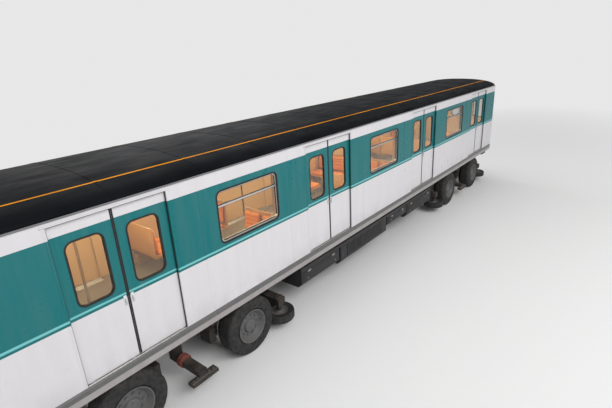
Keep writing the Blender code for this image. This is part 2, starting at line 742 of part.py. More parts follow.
def make_bogie_frame(end, way, parts, tools):
    """The frame is two beams with a transom, beams for the guide wheels, motors, springs and shoes."""
    place = (way * bogie_centre_distance / 2, 0, 0)
    beam = frame_beam_outline()
    frame = extruded("bogie_frame_" + end, [beam], frame_width, side_view, (0, frame_offset, 0), parts)
    frame.location = place
    other = extruded("frame_beam_" + end, [beam], frame_width, side_view, (0, -frame_offset, 0), tools)
    bearing_height = bolster_bottom_height - seat_gap
    transom_bottom = frame_top_height - transom_depth
    motor_height = frame_top_height - frame_softening - motor_radius
    pieces = [other]
    blocks = [("transom", -transom_length / 2, transom_length / 2, frame_offset, transom_bottom, frame_top_height)]
    for mark, turn in (("in", -1), ("out", 1)):
        middle = turn * guide_reach
        blocks.append(("guide_beam_" + mark, middle - guide_beam_length / 2, middle + guide_beam_length / 2,
                       guide_offset + guide_beam_length / 2, guide_beam_top_height - guide_beam_depth,
                       guide_beam_top_height))
        drums = (("motor", motor_radius, along, (turn * (transom_length / 2 - joint_overlap), 0, motor_height),
                  (turn * (wheelbase / 2 - gear_case_radius / 2), 0, motor_height)),
                 ("gear_case", gear_case_radius, across, (turn * wheelbase / 2, -gear_case_width / 2, axle_height),
                  (turn * wheelbase / 2, gear_case_width / 2, axle_height)))
        for name, radius, axis, start, stop in drums:
            pieces.append(cylinder("%s_%s_%s" % (name, mark, end), radius, start, stop, axis, drum_segments, tools))
    arm_top = shoe_height + shoe_thickness / 2 + shoe_arm_depth
    for name, left, right, half, bottom, top in blocks:
        pieces.append(box("%s_%s" % (name, end), (left, -half, bottom), (right, half, top), tools))
    for side, turn in sides:
        shoe = sorted((turn * (shoe_face_offset - shoe_width), turn * shoe_face_offset))
        pieces.append(box("shoe_%s_%s" % (side, end), (-shoe_length / 2, shoe[0], shoe_height - shoe_thickness / 2),
                          (shoe_length / 2, shoe[1], shoe_height + shoe_thickness / 2), tools))
        arm = sorted((turn * (frame_offset + frame_width / 2 - joint_overlap),
                      turn * (shoe_face_offset - shoe_width / 2)))
        pieces.append(box("shoe_arm_%s_%s" % (side, end),
                          (-shoe_arm_length / 2, arm[0], shoe_height + shoe_thickness / 2 - joint_overlap),
                          (shoe_arm_length / 2, arm[1], arm_top), tools))
        post = sorted((turn * (frame_offset - frame_width / 2 + joint_overlap),
                       turn * (frame_offset + frame_width / 2 + joint_overlap)))
        pieces.append(box("shoe_post_%s_%s" % (side, end), (-shoe_arm_length / 2, post[0],
                                                           shoe_height + shoe_thickness / 2 - joint_overlap),
                          (shoe_arm_length / 2, post[1], frame_top_height - joint_overlap), tools))
        for mark, reach in (("in", -1), ("out", 1)):
            pieces.append(make_brake_block("%s_%s_%s" % (mark, side, end), reach, turn, tools))
        spring = turned("spring_%s_%s" % (side, end), spring_profile(bearing_height), pin_segments, False, tools)
        spring.location = (0, turn * frame_offset, 0)
        pieces.append(spring)
        for mark, reach in (("in", -1), ("out", 1)):
            spot = (reach * guide_reach, turn * guide_offset)
            low = guide_height - guide_width / 2 - guide_cap_thickness - bracket_plate_gap
            pieces.append(cylinder("guide_pin_%s_%s_%s" % (mark, side, end), guide_pin_radius, (*spot, low),
                                   (*spot, guide_beam_top_height - joint_overlap), upward, pin_segments, tools))
            pieces.append(cylinder("guide_cap_%s_%s_%s" % (mark, side, end), guide_cap_radius, (*spot, low),
                                   (*spot, low + guide_cap_thickness), upward, pin_segments, tools))
    pieces.append(cylinder("pivot_" + end, pivot_radius, (0, 0, frame_top_height - joint_overlap),
                           (0, 0, bearing_height), upward, pin_segments, tools))
    for piece in pieces:
        piece.parent = frame
        combine(frame, piece, "UNION")
    for mark, turn in (("in", -1), ("out", 1)):
        reach = frame_offset + frame_width
        bore = cylinder("bore_%s_%s" % (mark, end), frame_bore_radius, (turn * wheelbase / 2, -reach, axle_height),
                        (turn * wheelbase / 2, reach, axle_height), across, wheel_segments, tools)
        bore.parent = frame
        combine(frame, bore, "DIFFERENCE")
    paint(frame, frame_paint)


def make_brake_block(name, reach, turn, tools):
    """A brake block faces a steel wheel's tread on the side towards the bogie's middle."""
    radius = steel_flange_radius + brake_block_clearance
    face = arc((wheelbase / 2, axle_height), radius, 180 - brake_block_angle, 180 + brake_block_angle, 2)
    back = wheelbase / 2 - radius - brake_block_length
    outline = face + [(back, face[-1][1]), (back, face[0][1])]
    outline = [(reach * x, z) for x, z in outline]
    inner = frame_offset + frame_width / 2 - joint_overlap
    outer = steel_wheel_front - brake_block_inset
    middle = turn * (inner + outer) / 2
    return extruded("brake_block_" + name, [outline], outer - inner, side_view, (0, middle, 0), tools)


# A spring's section from its top plate down to its bottom plate: share of its radius, share of its height
spring_shares = ((1.0, 1.0), (1.0, 0.88), (0.84, 0.8), (1.0, 0.66), (0.84, 0.5), (1.0, 0.34), (0.84, 0.2), (1.0, 0.12),
                 (1.0, 0.0))


def spring_profile(top):
    """A pneumatic spring with bellows, from the beam up to the underside of the bolster."""
    bottom = frame_top_height - joint_overlap
    bellows = [(spring_radius * out_share, bottom + (top - bottom) * up_share) for out_share, up_share in spring_shares]
    return [(0, top)] + bellows + [(0, bottom)]


def axle_half_profile():
    """Half of the axle from its middle outwards: shaft, steel safety wheel, dished rim and hub cap."""
    back = steel_wheel_back
    front = steel_wheel_front
    web_front = back + steel_web_depth
    rim_back = tyre_offset - tyre_width / 2
    rim_front = tyre_offset + tyre_width / 2
    dish = rim_front - rim_dish_depth
    rim_under = steel_tread_radius - steel_rim_depth
    return [(axle_radius, back), (steel_flange_radius, back), (steel_flange_radius, back + steel_flange_width),
            (steel_tread_radius, back + steel_flange_width * 3 / 2), (steel_tread_radius, front), (rim_under, front),
            (rim_under, web_front), (hub_radius, web_front), (hub_radius, rim_back), (rim_radius, rim_back),
            (rim_radius, rim_front), (rim_dish_radius, dish), (hub_radius, dish),
            (hub_radius, dish + hub_cap_length), (0, dish + hub_cap_length)]


def make_axle(end, way, mark, turn, parts):
    """An axle with both steel wheels and both rims, turned in one piece, and its two tyres."""
    half = axle_half_profile()
    profile = [(radius, y) for radius, y in reversed(half)] + [(radius, -y) for radius, y in half]
    place = (way * bogie_centre_distance / 2 + turn * wheelbase / 2, 0, axle_height)
    axle = turned("axle_%s_%s" % (end, mark), profile, wheel_segments, False, parts)
    axle.location = place
    axle.rotation_euler = (-math.pi / 2, 0, 0)
    paint(axle, wheel_steel)
    for side, hand in sides:
        tyre = turned("tyre_%s_%s_%s" % (end, mark, side), tyre_profile(), wheel_segments, True, parts)
        tyre.location = (place[0], hand * tyre_offset, axle_height)
        tyre.rotation_euler = (-math.pi / 2, 0, 0)
        paint(tyre, tyre_rubber)


def tyre_profile():
    """A ring with rounded shoulders and a bulged wall, seated on the rim."""
    half = tyre_width / 2
    bore = rim_radius + seat_gap / math.cos(math.pi / wheel_segments)
    corner = tyre_radius - tyre_shoulder_radius
    crown = arc((corner, half - tyre_shoulder_radius), tyre_shoulder_radius, 90, 0, tyre_shoulder_steps)
    upper = [(bore, half - tyre_shoulder_radius / 2)] + crown
    return upper + [(radius, -height) for radius, height in reversed(upper)]


def make_guide_wheel(end, way, mark, turn, side, hand, parts):
    """A horizontal wheel with a rubber tyre, which spins on the pin under the guide beam."""
    half = guide_width / 2
    hub = half - guide_shoulder / 2
    profile = [(guide_bore_radius, hub), (guide_rim_radius, hub), (guide_radius - guide_shoulder, half),
               (guide_radius, half - guide_shoulder)]
    profile += [(radius, -height) for radius, height in reversed(profile)]
    wheel = turned("guide_wheel_%s_%s_%s" % (end, mark, side), profile, guide_segments, True, parts)
    wheel.location = (way * bogie_centre_distance / 2 + turn * guide_reach, hand * guide_offset, guide_height)
    paint(wheel, tyre_rubber)


# Equipment cases along each side: share of the row's length, and share of the full depth
case_shares = ((0.22, 0.85), (0.34, 1.0), (0.18, 0.7), (0.26, 0.92))
ribbed_case = 1


def make_equipment(side, way, parts, tools):
    """Cases of several sizes hang in a row from two rails under the cross bearers."""
    top = underframe_bottom_height - seat_gap
    low_rail = top - case_rail_depth
    inner, outer = sorted((way * equipment_inner_offset, way * equipment_outer_offset))
    row = 2 * equipment_end_offset
    rail = box("equipment_" + side, (-row / 2, inner, low_rail), (row / 2, outer, top), parts)
    left = -row / 2
    for number, (length_share, depth_share) in enumerate(case_shares):
        length = row * length_share
        bottom = low_rail - (low_rail - equipment_bottom_height) * depth_share
        near = way * equipment_inner_offset
        far = way * (equipment_outer_offset - joint_overlap)
        section = [(near, bottom), (far - way * equipment_chamfer, bottom), (far, bottom + equipment_chamfer),
                   (far, low_rail + joint_overlap), (near, low_rail + joint_overlap)]
        case = extruded("case_%s_%d" % (side, number), [section], length - case_gap, end_view,
                        (left + length / 2, 0, 0), tools)
        soften(case, case_softening)
        combine(rail, case, "UNION")
        if number != ribbed_case:
            face = sorted((far - way * joint_overlap, far + way * case_lid_projection))
            margin = case_gap / 2 + case_lid_margin
            lid = box("lid_%s_%d" % (side, number), (left + margin, face[0], bottom + equipment_chamfer + case_lid_margin),
                      (left + length - margin, face[1], low_rail - case_lid_margin), tools)
            combine(rail, lid, "UNION")
        else:
            ribs =[(left + length * (rib + 1) / (case_rib_count + 1), bottom + equipment_chamfer + case_rib_length)
                    for rib in range(case_rib_count)]
        left += length
    span = sorted((far - way * joint_overlap, far + way * case_rib_projection))
    for rib, (middle, bottom) in enumerate(ribs):
        bar = box("rib_%s_%d" % (side, rib), (middle - case_rib_length / 2, span[0], bottom),
                  (middle + case_rib_length / 2, span[1], low_rail - case_rib_length), tools)
        combine(rail, bar, "UNION")
    paint(rail, frame_paint)


def make_benches(side, way, number, centre, parts, tools):
    """Two benches face each other at the window and hang from a duct along the side."""
    wall = half_width - side_thickness - seat_gap
    floor = floor_height + seat_gap
    seat_top = floor_height + bench_height
    seat_bottom = seat_top - cushion_thickness
    half_span = bench_spacing / 2
    duct_reach = half_span - back_thickness
    duct = sorted((way * wall, way * (wall - duct_width)))
    name = "benches_%s_%d" % (side, number + 1)
    benches = box(name, (centre - duct_reach, duct[0], floor), (centre + duct_reach, duct[1], floor + duct_height),
                  parts)
    leg = sorted((way * (wall - bench_width + bench_leg_width), way * (wall - bench_width + bench_leg_width * 2)))
    hanger = sorted((way * (wall - joint_overlap), way * (wall - duct_width + joint_overlap)))
    for mark, turn in (("a", -1), ("b", 1)):
        back = half_span
        outline = [(back, seat_bottom), (back, floor_height + back_height),
                   (back - back_thickness, floor_height + back_height),
                   (back - back_thickness - back_rake, seat_top), (back - bench_depth, seat_top),
                   (back - bench_depth, seat_bottom)]
        outline = [(centre + turn * x, z) for x, z in outline]
        seat = extruded("%s_%s_seat" % (name, mark), [outline], bench_width, side_view,
                        (0, way * (wall - bench_width / 2), 0), tools)
        combine(benches, seat, "UNION")
        leg_x = sorted((centre + turn * (back - back_thickness * 2), centre + turn * (back - bench_leg_depth)))
        for label, low, span in (("leg", floor, leg), ("hanger", floor + joint_overlap, hanger)):
            piece = box("%s_%s_%s" % (name, mark, label), (leg_x[0], span[0], low),
                        (leg_x[1], span[1], seat_bottom + joint_overlap), tools)
            combine(benches, piece, "UNION")
    paint(benches, seat_cloth)


def make_poles(parts, tools):
    """A rail under the ceiling carries one upright at each pair of doors."""
    rail_height = roof_crown_height - roof_thickness - pole_rail_drop
    reach = half_length - pole_rail_end_inset
    rail = cylinder("grab_poles", pole_radius, (-reach, 0, rail_height), (reach, 0, rail_height), along,
                    pole_segments, parts)
    for number, centre in enumerate(door_centres):
        pole = cylinder("pole_%d" % number, pole_radius, (centre, 0, floor_height + seat_gap),
                        (centre, 0, rail_height), upward, pole_segments, tools)
        combine(rail, pole, "UNION")
        bracket = cylinder("ceiling_bracket_%d" % number, ceiling_bracket_radius, (centre, 0, rail_height),
                           (centre, 0, ceiling_height(ceiling_bracket_radius) - seat_gap), upward,
                           pole_segments, tools)
        combine(rail, bracket, "UNION")
    paint(rail, pole_steel)


def main():
    clear_scene()
    parts = make_collection("metro_car")
    tools = make_collection("cutters")
    make_roof(parts)
    make_floor(parts)
    make_underframe(parts, tools)
    make_poles(parts, tools)
    for side, way in sides:
        make_side(side, way, parts, tools)
        make_leaves(side, way, parts)
        make_equipment(side, way, parts, tools)
        for number, centre in enumerate(bay_centres):
            make_benches(side, way, number, centre, parts, tools)
    for end, way in ends:
        make_end(end, way, parts, tools)
        make_end_door(end, way, parts, tools)
        make_headstock(end, way, parts, tools)
        make_coupler(end, way, parts, tools)
        make_bogie_frame(end, way, parts, tools)
        for mark, turn in (("in", -way), ("out", way)):
            make_axle(end, way, mark, turn, parts)
            for side, hand in sides:
                make_guide_wheel(end, way, mark, turn, side, hand, parts)


main()
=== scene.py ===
"""The surfaces and fittings of a rubber-tyred metro car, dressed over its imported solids."""

import math

import bmesh
import bpy
from mathutils import Matrix, Vector


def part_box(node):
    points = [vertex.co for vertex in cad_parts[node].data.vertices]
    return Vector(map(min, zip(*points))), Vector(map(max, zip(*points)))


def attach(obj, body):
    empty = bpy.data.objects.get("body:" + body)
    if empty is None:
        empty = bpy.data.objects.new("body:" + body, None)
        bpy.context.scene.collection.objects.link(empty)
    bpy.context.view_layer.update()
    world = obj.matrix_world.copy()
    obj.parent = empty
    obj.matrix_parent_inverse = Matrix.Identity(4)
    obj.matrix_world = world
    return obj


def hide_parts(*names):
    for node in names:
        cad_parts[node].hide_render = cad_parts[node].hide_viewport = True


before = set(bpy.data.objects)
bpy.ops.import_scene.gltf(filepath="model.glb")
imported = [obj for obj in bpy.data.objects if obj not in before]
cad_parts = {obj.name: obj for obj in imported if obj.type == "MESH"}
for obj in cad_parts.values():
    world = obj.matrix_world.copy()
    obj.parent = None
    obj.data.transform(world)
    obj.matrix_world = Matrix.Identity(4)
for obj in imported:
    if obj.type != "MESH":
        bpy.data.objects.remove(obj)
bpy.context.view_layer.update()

# The underframe is a ladder of folded steel beams welded under the floor, with a bolster over each bogie.
# It is sprayed black, and brake dust has settled on all that faces up.
underframe_black, tunnel_dust = (0.016, 0.017, 0.019, 1), (0.15, 0.125, 0.10, 1)


def add_node(tree, kind, sockets, **options):
    """Adds a shader node, sets its options, and fills its sockets with values or with other outputs."""
    node = tree.nodes.new("ShaderNode" + kind)
    for option, value in options.items():
        setattr(node, option, value)
    for socket, value in sockets.items():
        if isinstance(value, bpy.types.NodeSocket):
            tree.links.new(value, node.inputs[socket])
        else:
            node.inputs[socket].default_value = value
    return node


def position(tree):
    """Where each point of the surface lies in the car."""
    return add_node(tree, "TexCoord", {}).outputs["Object"]


def mottle(tree, grain, stretch=(1, 1, 1)):
    """Uneven patches over a piece, with about grain of them to the metre."""
    spread = add_node(tree, "Mapping", {"Vector": position(tree), "Scale": stretch}).outputs[0]
    return add_node(tree, "TexNoise", {"Vector": spread, "Scale": grain, "Detail": 5,
                                       "Roughness": 0.6}).outputs[0]


def share(tree, value, low, high, start=0.0, end=1.0):
    """Turns the values between low and high into those between start and end."""
    sockets = {"Value": value, "From Min": low, "From Max": high, "To Min": start, "To Max": end}
    return add_node(tree, "MapRange", sockets).outputs[0]


def patches(tree, grain, start=0.0, end=1.0, low=0.3, high=0.7, stretch=(1, 1, 1)):
    """Mottling as strengths between start and end, with all of its change between low and high."""
    return share(tree, mottle(tree, grain, stretch), low, high, start, end)


def count(tree, operation, first, second=0.0):
    return add_node(tree, "Math", {0: first, 1: second}, operation=operation).outputs[0]


def blend(tree, factor, first, second, mode="MIX"):
    return add_node(tree, "Mix", {0: factor, 6: first, 7: second}, data_type="RGBA",
                    blend_type=mode).outputs[2]


def shade(tree, colour, tone):
    return blend(tree, 1.0, colour, tone, "MULTIPLY")


def film(tree, base, over, grain, amount, low=0.3, high=0.7, stretch=(1, 1, 1)):
    """A colour that another one covers in patches, by up to amount."""
    return blend(tree, patches(tree, grain, 0.0, amount, low, high, stretch), base, over)


def new_finish(name, slot, **values):
    """A material with the shader's own sockets set, and its node tree to paint on. The slot is not used."""
    finish = bpy.data.materials.new(name)
    finish.use_nodes = True
    for socket, value in values.items():
        finish.node_tree.nodes["Principled BSDF"].inputs[socket.replace("_", " ")].default_value = value
    return finish, finish.node_tree


def coat(finish, colour, roughness, height=None, depth=0.0):
    """Gives a finish its colour and its roughness, and raises it by a pattern, by up to depth metres."""
    tree = finish.node_tree
    outputs = {"Base Color": colour, "Roughness": roughness}
    if height is not None:
        outputs["Normal"] = add_node(tree, "Bump", {"Height": height, "Strength": 1.0,
                                                    "Distance": depth}).outputs[0]
    for socket, output in outputs.items():
        if output is not None:
            tree.links.new(output, tree.nodes["Principled BSDF"].inputs[socket])
    return finish


def dusty_paint(name, slot, colour, dust, amount, roughness=0.5):
    """Old paint with dust on it that lies thickest in patches and on what faces up."""
    finish, tree = new_finish(name, slot, Metallic=0.0, Specular_IOR_Level=0.35)
    drifts = patches(tree, 5, low=0.35, high=0.75)
    normal = add_node(tree, "NewGeometry", {}).outputs["Normal"]
    facing = share(tree, add_node(tree, "SeparateXYZ", {"Vector": normal}).outputs["Z"], 0.2, 1.0, 0.35, 1.0)
    cover = count(tree, "MULTIPLY", count(tree, "MULTIPLY", drifts, facing), amount)
    base = shade(tree, colour, patches(tree, 70, 0.8, 1.15, high=0.8))
    return coat(finish, blend(tree, cover, base, dust), share(tree, drifts, 0, 1, roughness, 0.85),
                mottle(tree, 120), 0.0006)


def dress(name, finish):
    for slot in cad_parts[name].material_slots:
        slot.material = finish


frame_black = dusty_paint("underframe_paint", "frame_paint", underframe_black, tunnel_dust, 0.5)
dress("underframe", frame_black)

# Two air tanks hang on straps between the beams. Each is a rolled steel barrel with pressed ends welded on.
# A pipe joins them, and each has a drain cock underneath. They are sprayed with the frame.
tank_radius, tank_half, tank_dome, dome_power, casing_skin = 0.15, 0.62, 0.06, 2.6, 0.0015
tank_offset, tank_height = 1.35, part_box("underframe")[0].z + 0.15
strap_offset, strap_half, strap_thickness, strap_rod_offset, strap_rod_top = 0.35, 0.022, 0.006, 0.158, 0.895
lug_half, nut_height, plug_reach, pipe_radius = 0.012, 0.024, 0.035, 0.013
strap_rod_radius, nut_radius = 0.007, 0.011
collar_drop, collar_radius, spout_drop, spout_radius, plug_radius = 0.018, 0.013, 0.04, 0.007, 0.024


def oval(half, rise, power, start, end, steps):
    """Points on a flattened oval between two angles in degrees, as (across, up)."""
    points = []
    for step in range(steps + 1):
        angle = math.radians(start + (end - start) * step / steps)
        across, up = math.cos(angle), math.sin(angle)
        points.append((half * math.copysign(abs(across) ** (2 / power), across),
                       rise * abs(up) ** (2 / power)))
    return points


def both_ways(half):
    """A profile of (distance from the axis, distance along it), followed by its mirror image."""
    return half + [(across, -along) for across, along in reversed(half)]


def as_mesh(name, shape):
    """A mesh of a shape, which is used up."""
    mesh = bpy.data.meshes.new(name)
    shape.to_mesh(mesh)
    shape.free()
    return mesh


def add_object(name, data):
    thing = bpy.data.objects.new(name, data)
    bpy.context.scene.collection.objects.link(thing)
    return thing


def merge_into(shape, part):
    mesh = as_mesh("part", part)
    shape.from_mesh(mesh)
    bpy.data.meshes.remove(mesh)


def turned(shape, profile, centre, axis, steps):
    """Turns a profile once round an axis."""
    part = bmesh.new()
    corners = [part.verts.new((across, 0, along)) for across, along in profile]
    lines = [part.edges.new(pair) for pair in zip(corners, corners[1:])]
    bmesh.ops.spin(part, geom=corners + lines, cent=(0, 0, 0), axis=(0, 0, 1), angle=math.tau, steps=steps,
                   use_merge=True)
    bmesh.ops.remove_doubles(part, verts=part.verts, dist=0.00001)
    turn = Vector((0, 0, 1)).rotation_difference(Vector(axis)).to_matrix().to_4x4()
    bmesh.ops.transform(part, matrix=Matrix.Translation(centre) @ turn, verts=part.verts)
    merge_into(shape, part)


def band(shape, inner, outer, low, high, centre, axis, steps=48, edge=0.002):
    """A flat ring or collar round an axis, with its edges rounded."""
    corners = [(inner, low), (outer - edge, low), (outer, low + edge), (outer, high - edge),
               (outer - edge, high), (inner, high), (inner, low)]
    turned(shape, corners, centre, axis, steps)


def box_between(low, high, at=(0, 0, 0)):
    """A plain box round a point, between two corners that are given in any order, and its size."""
    low, high = [Vector(map(pick, low, high)) + Vector(at) for pick in (min, max)]
    part = bmesh.new()
    place = Matrix.Translation((high + low) / 2) @ Matrix.Diagonal((*(high - low), 1))
    bmesh.ops.create_cube(part, size=1, matrix=place)
    return part, high - low


def soften(part, lines, offset, steps=2):
    bmesh.ops.bevel(part, geom=lines, offset=offset, segments=steps, profile=0.5, affect="EDGES", material=-1)


def block(shape, low, high, edge=0.0, steps=1, at=(0, 0, 0)):
    """A box round a point, between two corners, with its edges rounded."""
    part, size = box_between(low, high, at)
    if edge:
        soften(part, part.edges, edge, steps)
    merge_into(shape, part)


def rod(shape, start, end, radius, segments=20, edge=0.0, at=(0, 0, 0)):
    """A round bar near a point, from start to end, with its end edges rounded."""
    part = bmesh.new()
    start, end = Vector(start) + Vector(at), Vector(end) + Vector(at)
    turn = Vector((0, 0, 1)).rotation_difference(end - start).to_matrix().to_4x4()
    bmesh.ops.create_cone(part, cap_ends=True, segments=segments, radius1=radius, radius2=radius,
                          depth=(end - start).length, matrix=Matrix.Translation((start + end) / 2) @ turn)
    if edge:
        rims = [line for line in part.edges if any(len(face.verts) > 4 for face in line.link_faces)]
        soften(part, rims, edge)
    merge_into(shape, part)


def mirror_over(axis, *shapes):
    """Adds the mirror image of each shape over the car's middle plane across an axis."""
    for shape in shapes:
        bmesh.ops.mirror(shape, geom=shape.verts[:] + shape.edges[:] + shape.faces[:], axis=axis,
                         merge_dist=0)


def set_down(name, shape, finish, body="root", place=Matrix(), replaced=None, sharp=35):
    """Makes a piece of a shape at its place, with its finish and body, and hides the node it stands for."""
    copy = shape.copy()
    bmesh.ops.transform(copy, matrix=place, verts=copy.verts)
    bmesh.ops.recalc_face_normals(copy, faces=copy.faces)
    mesh = as_mesh(name, copy)
    mesh.shade_smooth()
    mesh.set_sharp_from_angle(angle=math.radians(sharp))
    mesh.materials.append(finish)
    piece = add_object(name, mesh)
    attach(piece, body)
    if replaced:
        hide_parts(replaced)


tanks = bmesh.new()
middle = Vector((tank_offset, 0, tank_height))
dome = oval(tank_radius + casing_skin, tank_dome + casing_skin, dome_power, 0, 90, 8)
barrel = [(across, tank_half - tank_dome + up) for across, up in dome]
turned(tanks, both_ways(barrel[::-1]), middle, (1, 0, 0), 48)
for way in (1, -1):
    band(tanks, tank_radius, tank_radius + strap_thickness, way * strap_offset - strap_half,
         way * strap_offset + strap_half, middle, (1, 0, 0))
    for hand in (1, -1):
        lug = middle + Vector((way * strap_offset, hand * strap_rod_offset, 0))
        block(tanks, (-strap_half, -lug_half, -lug_half), (strap_half, lug_half, lug_half), 0.003, at=lug)
        rod(tanks, lug, (lug.x, lug.y, strap_rod_top), strap_rod_radius, 16)
        rod(tanks, (0, 0, -nut_height), (0, 0, 0), nut_radius, 6, 0.001, at=lug)
drain = middle - Vector((0, 0, tank_radius))
rod(tanks, (0, 0, -collar_drop), (0, 0, 0), collar_radius, 6, at=drain)
rod(tanks, (0, 0, -spout_drop), (0, 0, 0), spout_radius, 16, at=drain)
block(tanks, (-0.03, -0.004, -0.034), (0.012, 0.004, -0.026), 0.001, at=drain)
rod(tanks, (-tank_half - plug_reach, 0, 0), (-tank_half + 0.004, 0, 0), plug_radius, 6, 0.002, at=middle)
mirror_over("X", tanks)
pipe_half = tank_offset - tank_half - 0.03
rod(tanks, (-pipe_half, 0, tank_height), (pipe_half, 0, tank_height), pipe_radius)
set_down("air_tanks", tanks, frame_black)

# Each headstock is a boxed steel beam, welded across the end of the underframe. It has a row of bolts, two
# sockets for brake hoses with their caps on, and a bracket with the coupler's pin.
socket_height, socket_offset, flange_half, flange_rise, flange_depth = 0.89, 0.27, 0.07, 0.022, 0.022
hose_reach, cap_reach, hose_radius, cap_radius = 0.06, 0.072, 0.026, 0.032
bolt_height, bolt_start, bolt_pitch, bolt_count, rust_brown = 0.93, 0.16, 0.2, 5, (0.16, 0.08, 0.04, 1)
ends = (("front", 1), ("rear", -1))


def bolts(shape, places, axis, radius=0.012, height=0.009):
    """Six-sided bolt heads on washers, standing along an axis from each place."""
    for place in places:
        base = Vector(place)
        rod(shape, base, base + Vector(axis) * height * 0.3, radius * 1.5, 12)
        rod(shape, base, base + Vector(axis) * height, radius, 6, radius * 0.12)


def worn_steel(name, slot, colour, roughness=0.38, rust=0.35):
    """Bare steel that has dulled, with a film of rust in patches."""
    finish, tree = new_finish(name, slot, Metallic=0.9)
    base = film(tree, colour, rust_brown, 9, rust, low=0.45)
    return coat(finish, base, patches(tree, 40, roughness - 0.08, roughness + 0.15), mottle(tree, 160),
                0.0002)


def half_turn(way):
    """The place at the rear, or at the front, of a piece that is made for the front end."""
    return Matrix.Diagonal((way, way, 1, 1))


fitting_steel = worn_steel("fitting_steel", "wheel_steel", (0.24, 0.23, 0.22, 1), 0.42, 0.5)
beam_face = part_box("headstock_front")[1].x
fixings = bmesh.new()
bolts(fixings, [(beam_face, bolt_start + step * bolt_pitch, bolt_height) for step in range(bolt_count)],
      (1, 0, 0))
socket = (beam_face, socket_offset, socket_height)
block(fixings, (0, -flange_half, -flange_rise), (flange_depth, flange_half, flange_rise), 0.004, at=socket)
rod(fixings, (0.01, 0, 0), (hose_reach, 0, 0), hose_radius, 24, 0.004, at=socket)
rod(fixings, (hose_reach, 0, 0), (cap_reach, 0, 0), cap_radius, 24, 0.003, at=socket)
mirror_over("Y", fixings)
for end, way in ends:
    dress("headstock_" + end, frame_black)
    set_down("headstock_fixings_" + end, fixings, fitting_steel, "root", half_turn(way))

# The couplers are cast steel, painted black. An eye turns on the bracket's pin, held by a nut at each end,
# and a ribbed bar carries the head, whose face has a cup, a boss and four pads that are rubbed bright.
coupler_low, coupler_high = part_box("coupler_front")
coupler_height = (coupler_low.z + coupler_high.z) / 2
eye_radius, eye_half, pin_radius, pin_half, pad_half = 0.075, 0.045, 0.0312, 0.0875, 0.014
head_length, bar_half, rib_half, plate_step, plate_lap = 0.14, 0.04, 0.012, 0.008, 0.002
cup_offset, cup_bore, cup_radius, pad_offset, pad_height = 0.05, 0.024, 0.036, 0.098, 0.066
pin_nut_radius, pin_nut_height, washer_radius, washer_height = 0.045, 0.0165, 0.056, 0.005
pin_reach = coupler_low.x + eye_radius
head_half, head_rise = coupler_high.y, coupler_high.z - coupler_height
pin = Vector((pin_reach, 0, coupler_height))
back, front = coupler_high.x - head_length - pin_reach, coupler_high.x - plate_step - pin_reach
root, neck = back + 0.02, back - 0.07
coupler, faces, nuts = bmesh.new(), bmesh.new(), bmesh.new()
band(coupler, pin_radius, eye_radius, -eye_half, eye_half, pin, (0, 0, 1), 48, 0.005)
block(coupler, (eye_radius * 0.8, -bar_half, -bar_half), (root, bar_half, bar_half), 0.01, 3, pin)
for hand in (1, -1):
    block(coupler, (eye_radius + 0.03, hand * bar_half * 0.9, -rib_half),
          (root, hand * (bar_half + 0.03), rib_half), 0.005, 2, pin)
    block(coupler, (neck, -rib_half, hand * bar_half * 0.9), (root, rib_half, hand * (bar_half + 0.035)),
          0.005, 2, pin)
block(coupler, (back, -head_half, -head_rise), (front, head_half, head_rise), 0.018, 4, pin)
face = pin + Vector((front - plate_lap, 0, 0))
for across, inner in ((cup_offset, cup_bore), (-cup_offset, 0.0)):
    band(faces, inner, cup_radius, 0.0, plate_step + plate_lap, face + Vector((0, across, 0)), (1, 0, 0), 40,
         0.003)
for hand in (1, -1):
    for up in (1, -1):
        block(faces, (0, -pad_half, -pad_half), (plate_step + plate_lap, pad_half, pad_half), 0.003, 2,
              face + Vector((0, hand * pad_offset, up * pad_height)))
    seat = pin + Vector((0, 0, hand * pin_half))
    rod(nuts, (0, 0, 0), (0, 0, hand * pin_nut_height), pin_nut_radius, 6, 0.003, seat)
    rod(nuts, (0, 0, 0), (0, 0, hand * washer_height), washer_radius, 32, at=seat)
for end, way in ends:
    body, place = "coupler_" + end, half_turn(way)
    set_down("coupler_casting_" + end, coupler, frame_black, body, place, body)
    set_down("coupler_faces_" + end, faces, fitting_steel, body, place)
    set_down("coupler_nuts_" + end, nuts, fitting_steel, "root", place)

# The equipment cases hang in two rows between the bogies. They are folded from sheet steel, with raised lids
# on hinges held by quarter-turn latches, and one has louvres for its fan. All are sprayed black.
case_edges, case_bottoms, louvred_case = (-2.75, -1.54, 0.33, 1.32, 2.75), (0.4814, 0.42, 0.5428, 0.4528), 1
case_face, lid_face, lid_top, lid_margin, lid_rise = 1.09, 1.098, 0.7794, 0.075, 0.14
panel_margin, latch_inset, hinge_inset, louvre_inset, louvre_count = 0.035, 0.11, 0.16, 0.2, 11
latch_lift, latch_radius, latch_reach, hinge_half, hinge_radius = 0.018, 0.013, 0.008, 0.045, 0.007
sides = (("left", 1), ("right", -1))
case_black = dusty_paint("equipment_paint", "frame_paint", (0.02, 0.021, 0.024, 1), tunnel_dust, 0.4, 0.42)
latch_steel = worn_steel("latch_steel", "trim_metal", (0.36, 0.35, 0.34, 1), 0.32, 0.2)


def mirrored(way):
    """The place on the right, or on the left, of a piece that is made for the left side."""
    return Matrix.Diagonal((1, way, 1, 1))


